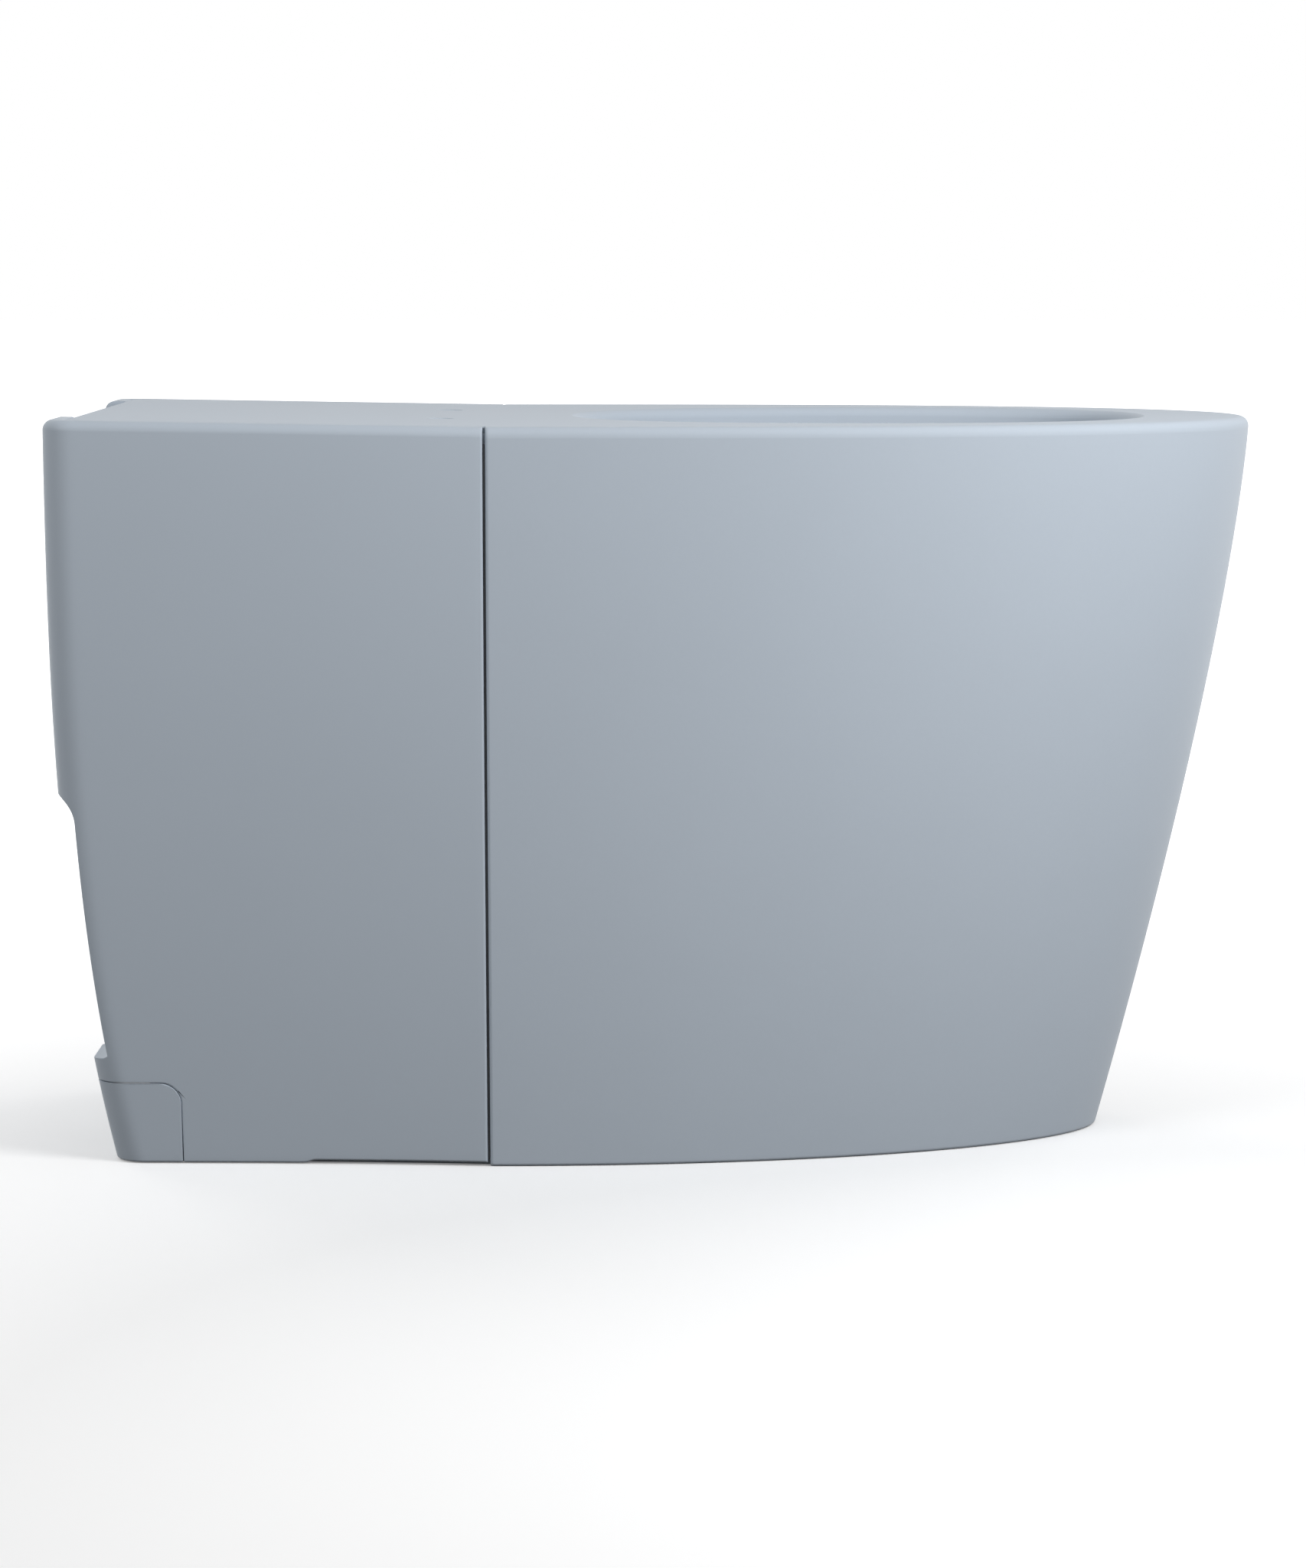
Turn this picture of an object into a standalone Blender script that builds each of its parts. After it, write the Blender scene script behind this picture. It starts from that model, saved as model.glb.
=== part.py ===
"""Elongated toilet bowl with a skirted front and clip-on covers over its rear sides.

Metres, with +Z up and +X towards the front of the bowl. The origin is on the floor, under the middle of
the bowl's length. Left is the side at -Y, as seen by someone who faces the bowl's front.
"""

import math

import bmesh
import bpy
from mathutils import Matrix, Vector

# Outside of the whole bowl
RIM_HEIGHT = 0.420
OVERALL_LENGTH = 0.685
OVERALL_WIDTH = 0.384
DECK_RISE = 0.0038
COVER_LENGTH = 0.2443
NOSE_SETBACK = 0.0866
REAR_SETBACK = 0.0328
SIDE_SETBACK = 0.048
REAR_TAPER = 0.0092
TOP_FILLET = 0.006
REAR_CORNER_RADIUS = 0.018

# How the outside bends between rim and foot
NOSE_EXPONENT = 1.32
REAR_EXPONENT = 2.85
SIDE_EXPONENT = 1.5
TAPER_EXPONENT = 3
RIM_LENGTH_EXPONENT = 3.0
FOOT_LENGTH_EXPONENT = 2.0
RIM_WIDTH_EXPONENT = 2.05
FOOT_WIDTH_EXPONENT = 1.8

# China body
CHINA_WALL = 0.010
RIM_DEPTH = 0.018
SEAM_EDGE_RADIUS = 0.002
RETURN_DRAFT = 0.0003
WALL_INSET = 0.044
INNER_CORNER_RADIUS = 0.004
FOOT_INSET = 0.006
FOOT_THICKNESS = 0.016
LEDGE_CLEARANCE = 0.0015
LEDGE_CHAMFER = 0.003
FIELD_EDGE_RADIUS = 0.0015

# Basin
FRONT_RIM_WIDTH = 0.066
SIDE_RIM_WIDTH = 0.064
OPENING_BEHIND = 0.049
OPENING_EDGE_RADIUS = 0.006
SUMP_LENGTH = 0.090
SUMP_WIDTH = 0.080
SUMP_STEP = 0.003
BASIN_PLAN_EXPONENT = 2.3
BASIN_DEPTH_EXPONENT = 2.2
BASIN_SPREAD_EXPONENT = 1.6
BASIN_REAR_EXPONENT = 1.4

# Trapway, measured along the line through the middle of its bore
TRAP_BORE = 0.054
TRAP_DIP_HEIGHT = 0.090
TRAP_RISE_ANGLE = math.radians(58)
TRAP_BEND_RADIUS = 0.044
OUTLET_FROM_REAR = 0.2225
HEEL_FROM_OUTLET = 0.140
SUMP_FROM_HEEL = 0.080
HORN_END_HEIGHT = 0.050

# Flush channel from the rear inlet to the basin
INLET_BORE = 0.055
INLET_BELOW_RIM = 0.075
INLET_BOSS_LENGTH = 0.008
CHANNEL_ROUND_LENGTH = 0.150
CHANNEL_MOUTH_WIDTH = 0.084
CHANNEL_MOUTH_HEIGHT = 0.018
MOUTH_FROM_OPENING = 0.020

# Seat or unit fixing holes in the deck
SEAT_HOLE_FROM_NOSE = 0.470
SEAT_HOLE_SPACING = 0.140
SEAT_HOLE_DIAMETER = 0.014

# Side covers
COVER_WALL = 0.0035
SEAM_GAP = 0.0015
LIP_REACH = 0.012
LIP_GAP = 0.0008
REAR_RETURN = 0.040
COVER_FLOOR_GAP = 0.0006
RELIEF_LENGTH = 0.105
RELIEF_HEIGHT = 0.0016
NOTCH_DEPTH = 0.0073
NOTCH_TOP = 0.2145
NOTCH_SHOULDER = 0.010
NOTCH_BOTTOM = 0.063
NOTCH_HEEL = 0.0066
STUD_DIAMETER = 0.013
STUD_GRIP = 0.007

# Corner covers
CORNER_COVER_HEIGHT = 0.048
CORNER_COVER_LENGTH = 0.0697
CORNER_COVER_ROUND = 0.009
CORNER_COVER_GAP = 0.0005
PEG_DIAMETER = 0.005
PEG_DEPTH = 0.010
PEG_SPACING = 0.011
PEG_EDGE_MARGIN = 0.0065

# Clips that hold the side covers
CLIP_BOSS_DIAMETER = 0.028
CLIP_BOSS_HEIGHT = 0.014
CLIP_DIAMETER = 0.024
CLIP_HEIGHT = 0.014
CLIP_FLOOR = 0.003
CLIP_SCREW_HEAD_DIAMETER = 0.010
CLIP_SCREW_HEAD_HEIGHT = 0.0025
CLIP_SCREW_DIAMETER = 0.0045
CLIP_SCREW_DEPTH = 0.011

# Foot fixings
BOLT_FROM_SEAM = 0.100
BOLT_DIAMETER = 0.008
BOLT_ABOVE_FOOT = 0.016
SLEEVE_WALL = 0.0015
WASHER_DIAMETER = 0.020
WASHER_THICKNESS = 0.0016
NUT_ACROSS_FLATS = 0.013
NUT_HEIGHT = 0.0065
CAP_DIAMETER = 0.0235
CAP_WALL = 0.0012
CAP_HEADROOM = 0.003
CAP_EDGE_MARGIN = 0.0015

# Outlet socket on the floor
SOCKET_WALL = 0.004
SOCKET_HEIGHT = 0.046
COLLAR_RISE = 0.030
SEAL_WALL = 0.0040
SEAL_HEIGHT = 0.015
ROUGH_IN_SHIFT = 0.070
DRAIN_BORE = 0.070
SOCKET_EAR_LENGTH = 0.026
SOCKET_EAR_THICKNESS = 0.008
SOCKET_EAR_WIDTH = 0.060
SOCKET_SCREW_SPACING = 0.036
SOCKET_SCREW_DIAMETER = 0.005
SOCKET_SCREW_HEAD_DIAMETER = 0.010
SOCKET_SCREW_HEAD_HEIGHT = 0.003

# Inlet
INLET_SEAL_WALL = 0.005
INLET_SEAL_LENGTH = 0.024
INLET_SEAL_LIP = 0.003
CONNECTOR_WALL = 0.003
CONNECTOR_REAR_INSET = 0.004
CONNECTOR_FLANGE_RISE = 0.004
CONNECTOR_FLANGE_LENGTH = 0.004

# Fits
TOUCH_GAP = 0.0003
CUT_OVERRUN = 0.010
HOLE_CLEARANCE = 0.0006

# Places that follow the bowl's own sizes
CLIP_NAMES = ("upper_front", "upper_rear", "lower")
CLIP_BACK_SHARES = (0.17, 0.72, 0.45)
CLIP_HEIGHT_SHARES = (0.80, 0.80, 0.33)
COVER_ROW_SHARES = (0.25, 0.50, 0.75)
RETURN_SHARES = (0.5, 1.0)
SEAL_ROW_SHARES = (0.05, 0.25, 0.50, 0.75, 0.93)
SKIRT_ROW_SHARES = (0.0, 0.10, 0.13, 0.30, 0.50, 0.70, 0.86, 0.89, 0.95)
CAP_SHOULDER_SHARE = 0.8
SCREW_HEAD_TOP_SHARE = 0.7

# Fineness
FRONT_STEPS = 18
EDGE_STEPS = 2
SIDE_STEPS = 4
CORNER_STEPS = 5
FILLET_STEPS = 3
BASIN_STEPS = 18
BASIN_ROWS = 10
BEND_STEPS = 6
PIPE_SIDES = 16
ROUND_SIDES = 16
NUT_POINTS = 12
SHARP_ANGLE = math.radians(35)

# Finishes as colour, roughness and metallic value
GLAZED_CHINA = ((0.40, 0.45, 0.51), 0.12, 0.0)
MOULDED_COVER = ((0.39, 0.44, 0.50), 0.22, 0.0)
DARK_RUBBER = ((0.03, 0.03, 0.03), 0.75, 0.0)
GREY_FOAM = ((0.10, 0.10, 0.11), 0.90, 0.0)
BRIGHT_STEEL = ((0.60, 0.61, 0.62), 0.30, 1.0)
WHITE_PLASTIC = ((0.80, 0.80, 0.78), 0.40, 0.0)
BLACK_PLASTIC = ((0.05, 0.05, 0.055), 0.45, 0.0)

NOSE_X = OVERALL_LENGTH / 2
REAR_X = -OVERALL_LENGTH / 2
SEAM_X = REAR_X + COVER_LENGTH
OPENING_FRONT_X = NOSE_X - FRONT_RIM_WIDTH
OPENING_REAR_X = SEAM_X + OPENING_BEHIND
OUTLET_X = REAR_X + OUTLET_FROM_REAR
HEEL_X = OUTLET_X + HEEL_FROM_OUTLET
SUMP_X = HEEL_X + SUMP_FROM_HEEL
SUMP_FLOOR = TRAP_DIP_HEIGHT - TRAP_BORE / 2 - SUMP_STEP
FLUSH_HEIGHT = RIM_HEIGHT - INLET_BELOW_RIM
SIDES = (("left", -1), ("right", 1))


def mix(low, high, share):
    return low + (high - low) * share


# The outside as formulae


def down_share(z):
    """0 at the rim and above it, 1 at the floor and below it."""
    return min(max(1 - z / RIM_HEIGHT, 0), 1)


def nose_x(z):
    return NOSE_X - NOSE_SETBACK * down_share(z) ** NOSE_EXPONENT


def rear_x(z):
    return REAR_X + REAR_SETBACK * down_share(z) ** REAR_EXPONENT


def side_y(x, z):
    """Half width of the outside. Behind the seam the foot also draws in a little."""
    behind_share = min(max(SEAM_X - x, 0) / COVER_LENGTH, 1)
    taper = REAR_TAPER * (1 - (1 - behind_share) ** TAPER_EXPONENT) * down_share(z)
    return OVERALL_WIDTH / 2 - SIDE_SETBACK * down_share(z) ** SIDE_EXPONENT - taper


def deck_z(x):
    """The deck climbs in a straight line from the seam to the rear."""
    return RIM_HEIGHT + DECK_RISE * min(max(SEAM_X - x, 0) / COVER_LENGTH, 1)


def level(z):
    return lambda x: z


def below_deck(depth):
    return lambda x: deck_z(x) - depth


def front_half(z, inset, seam_x):
    """Half plan of the skirt at one height, from the nose to its rounded edge at the seam."""
    half = side_y(SEAM_X, z) - inset
    flat_x = seam_x + SEAM_EDGE_RADIUS
    reach = nose_x(z) - inset - flat_x
    length_exponent = mix(RIM_LENGTH_EXPONENT, FOOT_LENGTH_EXPONENT, down_share(z))
    width_exponent = mix(RIM_WIDTH_EXPONENT, FOOT_WIDTH_EXPONENT, down_share(z))
    points = [(flat_x + reach, 0)]
    for step in range(1, FRONT_STEPS + 1):
        angle = math.pi / 2 * (1 - step / FRONT_STEPS)
        x = flat_x + reach * max(math.sin(angle), 0) ** (2 / length_exponent)
        points.append((x, half * math.cos(angle) ** (2 / width_exponent)))
    for step in range(1, EDGE_STEPS + 1):
        angle = math.pi / 2 * step / EDGE_STEPS
        x = flat_x - SEAM_EDGE_RADIUS * math.sin(angle)
        points.append((x, half - SEAM_EDGE_RADIUS * (1 - math.cos(angle))))
    return [Vector((x, y, z)) for x, y in points]


def rear_half(height_at, inset, start_x, setback=0):
    """Half plan behind the seam, along the side and round the rear corner."""
    rear = rear_x(height_at(REAR_X)) + inset + setback
    radius = max(REAR_CORNER_RADIUS - inset, INNER_CORNER_RADIUS)
    corner_x = rear + radius
    points = []
    for step in range(SIDE_STEPS + 1):
        x = mix(start_x, corner_x, step / SIDE_STEPS)
        points.append((x, side_y(x, height_at(x)) - inset))
    corner_y = points[-1][1] - radius
    for step in range(1, CORNER_STEPS + 1):
        angle = math.pi / 2 * step / CORNER_STEPS
        points.append((corner_x - radius * math.sin(angle), corner_y + radius * math.cos(angle)))
    return [Vector((x, y, height_at(x))) for x, y in points]


# Mesh helpers


def mirrored(points):
    return [Vector((p.x, -p.y, p.z)) for p in points]


def whole_loop(half):
    """Closes a half plan with its mirror image. Points on the middle plane are used once."""
    return half + [p for p in reversed(mirrored(half)) if p.y != 0]


def skin(bm, loops, closed=False):
    """Faces between loops of equal length. Returns the rings of vertices."""
    rings = [[bm.verts.new(point) for point in loop] for loop in loops]
    pairs = list(zip(rings, rings[1:]))
    if closed:
        pairs.append((rings[-1], rings[0]))
    for low, high in pairs:
        for i in range(len(low)):
            j = (i + 1) % len(low)
            bm.faces.new((low[i], low[j], high[j], high[i]))
    return rings


def lofted(loops):
    """A closed body through the loops, with a flat face on each end."""
    bm = bmesh.new()
    rings = skin(bm, loops)
    bm.faces.new(rings[0])
    bm.faces.new(rings[-1])
    return bm


def turned(profile, sides=ROUND_SIDES):
    """A ring turned about Z from a closed profile of (radius, height) points."""
    bm = bmesh.new()
    loops = [circle(radius, height, sides) for radius, height in profile]
    skin(bm, loops, closed=True)
    return bm


def circle(radius, height, sides=ROUND_SIDES):
    angles = [2 * math.pi * i / sides for i in range(sides)]
    return [Vector((radius * math.cos(a), radius * math.sin(a), height)) for a in angles]


def rod(profile, sides=ROUND_SIDES):
    """A solid round body about Z from (radius, height) points."""
    return lofted([circle(radius, height, sides) for radius, height in profile])


def prism(outline, bottom, top):
    return lofted([[Vector((x, y, z)) for x, y in outline] for z in (bottom, top)])


def obround(start_x, end_x, radius):
    """Plan outline with half-round ends about two centres on the X axis."""
    half_turn = ROUND_SIDES // 2
    outline = []
    for centre, first in ((end_x, -math.pi / 2), (start_x, math.pi / 2)):
        for i in range(half_turn + 1):
            angle = first + math.pi * i / half_turn
            outline.append((centre + radius * math.cos(angle), radius * math.sin(angle)))
    return outline


def moved(bm, place):
    bmesh.ops.transform(bm, matrix=place, verts=bm.verts)
    return bm


def joined(bodies):
    """Several bodies that don't touch, as one mesh."""
    bm = bmesh.new()
    for body in bodies:
        mesh = bpy.data.meshes.new("joined")
        body.to_mesh(mesh)
        body.free()
        bm.from_mesh(mesh)
        bpy.data.meshes.remove(mesh)
    return bm


def to_object(name, bm):
    bmesh.ops.recalc_face_normals(bm, faces=bm.faces)
    mesh = bpy.data.meshes.new(name)
    bm.to_mesh(mesh)
    bm.free()
    mesh.shade_smooth()
    mesh.set_sharp_from_angle(angle=SHARP_ANGLE)
    obj = bpy.data.objects.new(name, mesh)
    bpy.context.collection.objects.link(obj)
    return obj


def piece(name, bm, finish):
    """One sub-part with its own material."""
    obj = to_object(name, bm)
    colour, roughness, metallic = finish
    material = bpy.data.materials.new(name + "_finish")
    material.use_nodes = True
    shader = material.node_tree.nodes["Principled BSDF"]
    shader.inputs["Base Color"].default_value = (*colour, 1)
    shader.inputs["Roughness"].default_value = roughness
    shader.inputs["Metallic"].default_value = metallic
    obj.data.materials.append(material)
    return obj


def set_origin(obj, x, y, z):
    """Moves only the object's origin, which a moving piece has on the line that it slides along."""
    obj.data.transform(Matrix.Translation((-x, -y, -z)))
    obj.location = (x, y, z)


def helper(name, bm):
    obj = to_object(name, bm)
    obj.hide_render = True
    obj.display_type = "WIRE"
    return obj


def combine(obj, other, operation):
    modifier = obj.modifiers.new(other.name, "BOOLEAN")
    modifier.operation = operation
    modifier.object = other


def along_y(x, y, z, side):
    """Turns a body made about Z so that it points outwards on one side of the bowl."""
    turn = Matrix.Rotation(-side * math.pi / 2, 4, "X")
    return Matrix.Translation((x, side * y, z)) @ turn


# China body


def fillet_rows(radius):
    """(drop, inset) pairs round a convex top edge."""
    angles = [math.pi / 2 * step / FILLET_STEPS for step in range(FILLET_STEPS + 1)]
    return [(radius * (1 - math.sin(a)), radius * (1 - math.cos(a))) for a in angles]


def china_outside():
    """The skirt, the inset rear walls on their foot and the deck with its ledge for the covers."""
    ledge = COVER_WALL + LEDGE_CLEARANCE
    seat = COVER_WALL + TOUCH_GAP
    field = LIP_REACH + LIP_GAP
    skirt = [(RIM_HEIGHT * share, 0) for share in SKIRT_ROW_SHARES]
    skirt += [(RIM_HEIGHT - drop, inset) for drop, inset in fillet_rows(TOP_FILLET)]
    wall_rows = [(level(RIM_HEIGHT * share), WALL_INSET) for share in SKIRT_ROW_SHARES[3:6]]
    rear = [
        (level(0), FOOT_INSET),
        (level(FOOT_THICKNESS), FOOT_INSET),
        (level(FOOT_THICKNESS), WALL_INSET),
        *wall_rows,
        (below_deck(RIM_DEPTH), WALL_INSET),
        (below_deck(RIM_DEPTH), ledge),
        (below_deck(seat + LEDGE_CHAMFER), ledge),
        (below_deck(seat), ledge + LEDGE_CHAMFER),
        (below_deck(seat), field),
        (below_deck(FIELD_EDGE_RADIUS), field),
        (below_deck(0), field + FIELD_EDGE_RADIUS),
    ]
    loops = []
    for (z, inset), (height_at, rear_inset) in zip(skirt, rear, strict=True):
        front = front_half(z, inset, SEAM_X)
        behind = rear_half(height_at, rear_inset, SEAM_X - RETURN_DRAFT)
        loops.append(whole_loop(front + behind))
    bm = bmesh.new()
    rings = skin(bm, loops)
    bm.faces.new(rings[0])
    first_behind = len(front)
    last_behind = len(rings[0]) - first_behind + 1
    bm.faces.new(rings[-1][first_behind:last_behind])
    bm.faces.new(rings[-1][: first_behind + 1] + rings[-1][last_behind - 1 :])
    return bm


def china_hollow():
    """The space inside the skirt and the rear walls, open at the floor."""
    loops = []
    inner_seam_x = SEAM_X + CHINA_WALL
    top = RIM_HEIGHT - RIM_DEPTH
    for z in (-CUT_OVERRUN, 0, top / 3, top * 2 / 3, top):
        front = front_half(z, CHINA_WALL, inner_seam_x)
        behind = rear_half(level(z), WALL_INSET + CHINA_WALL, inner_seam_x)
        loops.append(whole_loop(front + behind))
    return lofted(loops)


def basin_loop(spread, share, z, outset):
    """Plan of the basin: spread is 1 at the opening and 0 on the sump's floor, share is the depth's.

    The rear wall comes forward sooner than the others, above the trapway's rising leg.
    """
    rear_spread = (1 + math.cos(math.pi * share**BASIN_REAR_EXPONENT)) / 2
    front = mix(SUMP_X + SUMP_LENGTH / 2, OPENING_FRONT_X, spread) + outset
    rear = mix(SUMP_X - SUMP_LENGTH / 2, OPENING_REAR_X, rear_spread) - outset
    half = mix(SUMP_WIDTH / 2, OVERALL_WIDTH / 2 - SIDE_RIM_WIDTH, spread) + outset
    points = []
    for step in range(BASIN_STEPS + 1):
        angle = math.pi * step / BASIN_STEPS
        reach = abs(math.cos(angle)) ** (2 / BASIN_PLAN_EXPONENT)
        x = (front + rear) / 2 + math.copysign(reach, math.cos(angle)) * (front - rear) / 2
        y = half * max(math.sin(angle), 0) ** (2 / BASIN_PLAN_EXPONENT)
        points.append(Vector((x, 0 if step in (0, BASIN_STEPS) else y, z)))
    return whole_loop(points)


def basin_profile():
    """(spread, depth share) pairs from the rim down to the sump."""
    pairs = []
    for row in range(BASIN_ROWS + 1):
        angle = math.pi / 2 * row / BASIN_ROWS
        spread = max(math.cos(angle), 0) ** (2 / BASIN_SPREAD_EXPONENT)
        pairs.append((spread, math.sin(angle) ** (2 / BASIN_DEPTH_EXPONENT)))
    return pairs


def basin_inside():
    depth = RIM_HEIGHT - SUMP_FLOOR
    radius = OPENING_EDGE_RADIUS
    loops = [basin_loop(1, 0, RIM_HEIGHT + CUT_OVERRUN, radius)]
    for drop, inset in reversed(fillet_rows(radius)):
        loops.append(basin_loop(1, 0, RIM_HEIGHT + TOUCH_GAP / 2 - drop, inset))
    for spread, share in basin_profile()[1:]:
        loops.append(basin_loop(spread, share, RIM_HEIGHT - depth * share, 0))
    return lofted(loops)


def basin_outside():
    depth = RIM_HEIGHT - SUMP_FLOOR + CHINA_WALL
    loops = [basin_loop(1, 0, RIM_HEIGHT - RIM_DEPTH / 2, CHINA_WALL)]
    for spread, share in basin_profile()[1:]:
        loops.append(basin_loop(spread, share, RIM_HEIGHT - depth * share, CHINA_WALL))
    return lofted(loops)


def trap_line(start_x, end_z):
    """Middle line of the trapway: out of the sump, up to the crest and down to the outlet."""
    turn = math.pi - (math.pi / 2 - TRAP_RISE_ANGLE)
    meet_z = TRAP_DIP_HEIGHT + (HEEL_X - OUTLET_X) * math.tan(TRAP_RISE_ANGLE)
    crest_z = meet_z - TRAP_BEND_RADIUS * math.tan(turn / 2)
    heel_x = HEEL_X + TRAP_BEND_RADIUS * math.tan(TRAP_RISE_ANGLE / 2)
    points = [(start_x, TRAP_DIP_HEIGHT)]
    for step in range(BEND_STEPS + 1):
        angle = TRAP_RISE_ANGLE * step / BEND_STEPS
        x = heel_x - TRAP_BEND_RADIUS * math.sin(angle)
        points.append((x, TRAP_DIP_HEIGHT + TRAP_BEND_RADIUS * (1 - math.cos(angle))))
    for step in range(2 * BEND_STEPS + 1):
        angle = math.pi / 2 - TRAP_RISE_ANGLE + turn * step / (2 * BEND_STEPS)
        x = OUTLET_X + TRAP_BEND_RADIUS * (1 + math.cos(angle))
        points.append((x, crest_z + TRAP_BEND_RADIUS * math.sin(angle)))
    points.append((OUTLET_X, end_z))
    return [Vector((x, 0, z)) for x, z in points]


def pipe(line, radius):
    """A round solid swept along a line in the middle plane."""
    loops = []
    for i, centre in enumerate(line):
        ahead = line[min(i + 1, len(line) - 1)] - line[max(i - 1, 0)]
        across = Vector((-ahead.z, 0, ahead.x)).normalized()
        angles = [2 * math.pi * k / PIPE_SIDES for k in range(PIPE_SIDES)]
        rim = [across * math.cos(a) + Vector((0, math.sin(a), 0)) for a in angles]
        loops.append([centre + direction * radius for direction in rim])
    return lofted(loops)


def channel(outset, start_x, end_x):
    """The flush channel: round at the inlet, a wide low slot at the basin."""
    round_x = rear_x(FLUSH_HEIGHT) + WALL_INSET + CHANNEL_ROUND_LENGTH
    mouth_x = OPENING_REAR_X - MOUTH_FROM_OPENING
    stations = [
        (start_x, INLET_BORE, INLET_BORE),
        (round_x, INLET_BORE, INLET_BORE),
        (mouth_x, CHANNEL_MOUTH_WIDTH, CHANNEL_MOUTH_HEIGHT),
        (end_x, CHANNEL_MOUTH_WIDTH, CHANNEL_MOUTH_HEIGHT),
    ]
    loops = []
    for x, width, height in stations:
        unit = circle(1, 0, PIPE_SIDES)
        half_width = width / 2 + outset
        half_height = height / 2 + outset
        loops.append([Vector((x, p.x * half_width, FLUSH_HEIGHT + p.y * half_height)) for p in unit])
    return lofted(loops)


def inlet_face_x():
    return rear_x(FLUSH_HEIGHT) + WALL_INSET - INLET_BOSS_LENGTH


def clip_places():
    """(x, z, y of the flat boss face) of each clip on one side."""
    places = []
    for back_share, height_share in zip(CLIP_BACK_SHARES, CLIP_HEIGHT_SHARES):
        x = SEAM_X - COVER_LENGTH * back_share
        z = RIM_HEIGHT * height_share
        places.append((x, z, side_y(x, z) - WALL_INSET + CLIP_BOSS_HEIGHT))
    return places


def bolt_place():
    x = SEAM_X - BOLT_FROM_SEAM
    return x, side_y(x, 0) - FOOT_INSET - CAP_DIAMETER / 2 - CAP_EDGE_MARGIN


def peg_places():
    """(x, y of the foot's outer face) of the two pegs of a corner cover."""
    first = REAR_X + CORNER_COVER_LENGTH - PEG_EDGE_MARGIN
    middle = FOOT_THICKNESS / 2
    return [(x, side_y(x, middle) - FOOT_INSET) for x in (first, first - PEG_SPACING)]


def clip_bosses():
    half = CLIP_BOSS_DIAMETER / 2
    depth = CLIP_BOSS_HEIGHT + CHINA_WALL / 2
    bodies = []
    for x, z, y in clip_places():
        for _, side in SIDES:
            bodies.append(moved(rod([(half, -depth), (half, 0)]), along_y(x, y, z, side)))
    return joined(bodies)


def china_holes():
    """Holes for the seat, the floor bolts, the clip screws and the corner covers' pegs."""
    bodies = []
    seat = SEAT_HOLE_DIAMETER / 2
    bolt = BOLT_DIAMETER / 2 + SLEEVE_WALL + HOLE_CLEARANCE
    screw = CLIP_SCREW_DIAMETER / 2 + TOUCH_GAP
    peg = PEG_DIAMETER / 2 + TOUCH_GAP
    seat_x = NOSE_X - SEAT_HOLE_FROM_NOSE
    bolt_x, bolt_y = bolt_place()
    for _, side in SIDES:
        place = Matrix.Translation((seat_x, side * SEAT_HOLE_SPACING / 2, RIM_HEIGHT))
        bodies.append(moved(rod([(seat, -RIM_DEPTH - CUT_OVERRUN), (seat, CUT_OVERRUN)]), place))
        place = Matrix.Translation((bolt_x, side * bolt_y, 0))
        bodies.append(moved(rod([(bolt, -CUT_OVERRUN), (bolt, FOOT_THICKNESS + CUT_OVERRUN)]), place))
        for x, z, y in clip_places():
            hole = rod([(screw, -CLIP_SCREW_DEPTH), (screw, CUT_OVERRUN)])
            bodies.append(moved(hole, along_y(x, y, z, side)))
        for x, y in peg_places():
            hole = rod([(peg, -PEG_DEPTH), (peg, CUT_OVERRUN)])
            bodies.append(moved(hole, along_y(x, y, FOOT_THICKNESS / 2, side)))
    return joined(bodies)


def make_china():
    trap_radius = TRAP_BORE / 2
    face_x = inlet_face_x()
    casting = piece("bowl_casting", china_outside(), GLAZED_CHINA)
    combine(casting, helper("china_hollow", china_hollow()), "DIFFERENCE")
    combine(casting, helper("basin_outside", basin_outside()), "UNION")
    trap_outside = pipe(trap_line(SUMP_X, HORN_END_HEIGHT), trap_radius + CHINA_WALL)
    combine(casting, helper("trap_outside", trap_outside), "UNION")
    channel_outside = channel(CHINA_WALL, face_x, OPENING_REAR_X)
    combine(casting, helper("channel_outside", channel_outside), "UNION")
    combine(casting, helper("clip_bosses", clip_bosses()), "UNION")
    combine(casting, helper("basin_inside", basin_inside()), "DIFFERENCE")
    trap_inside = pipe(trap_line(SUMP_X, HORN_END_HEIGHT - CUT_OVERRUN), trap_radius)
    combine(casting, helper("trap_inside", trap_inside), "DIFFERENCE")
    channel_end = OPENING_REAR_X + MOUTH_FROM_OPENING
    channel_inside = channel(0, face_x - CUT_OVERRUN, channel_end)
    combine(casting, helper("channel_inside", channel_inside), "DIFFERENCE")
    combine(casting, helper("china_holes", china_holes()), "DIFFERENCE")


# Side and corner covers


def notch_rows():
    """(height, share of the notch's depth) up the cover's rear, with a rounded shoulder on top."""
    shoulder = []
    for step in range(FILLET_STEPS + 1):
        angle = math.pi / 2 * step / FILLET_STEPS
        height = NOTCH_TOP - NOTCH_SHOULDER * (1 - math.sin(angle))
        shoulder.append((height, math.cos(angle)))
    low = NOTCH_BOTTOM + NOTCH_HEEL
    high = NOTCH_TOP - NOTCH_SHOULDER
    plain = [(mix(low, high, share), 1) for share in COVER_ROW_SHARES]
    heel = [(NOTCH_BOTTOM / 2, 0), (NOTCH_BOTTOM, 0), (low, 1)]
    return heel + plain + shoulder


def cover_bottom(x):
    """The lower edge is relieved next to the seam."""
    if x > SEAM_X - RELIEF_LENGTH:
        return COVER_FLOOR_GAP + RELIEF_HEIGHT
    return COVER_FLOOR_GAP


def cover_half(height_at, inset, setback):
    points = rear_half(height_at, inset, SEAM_X - SEAM_GAP, setback)
    end = points[-1]
    return points + [end - Vector((0, REAR_RETURN * share, 0)) for share in RETURN_SHARES]


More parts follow.
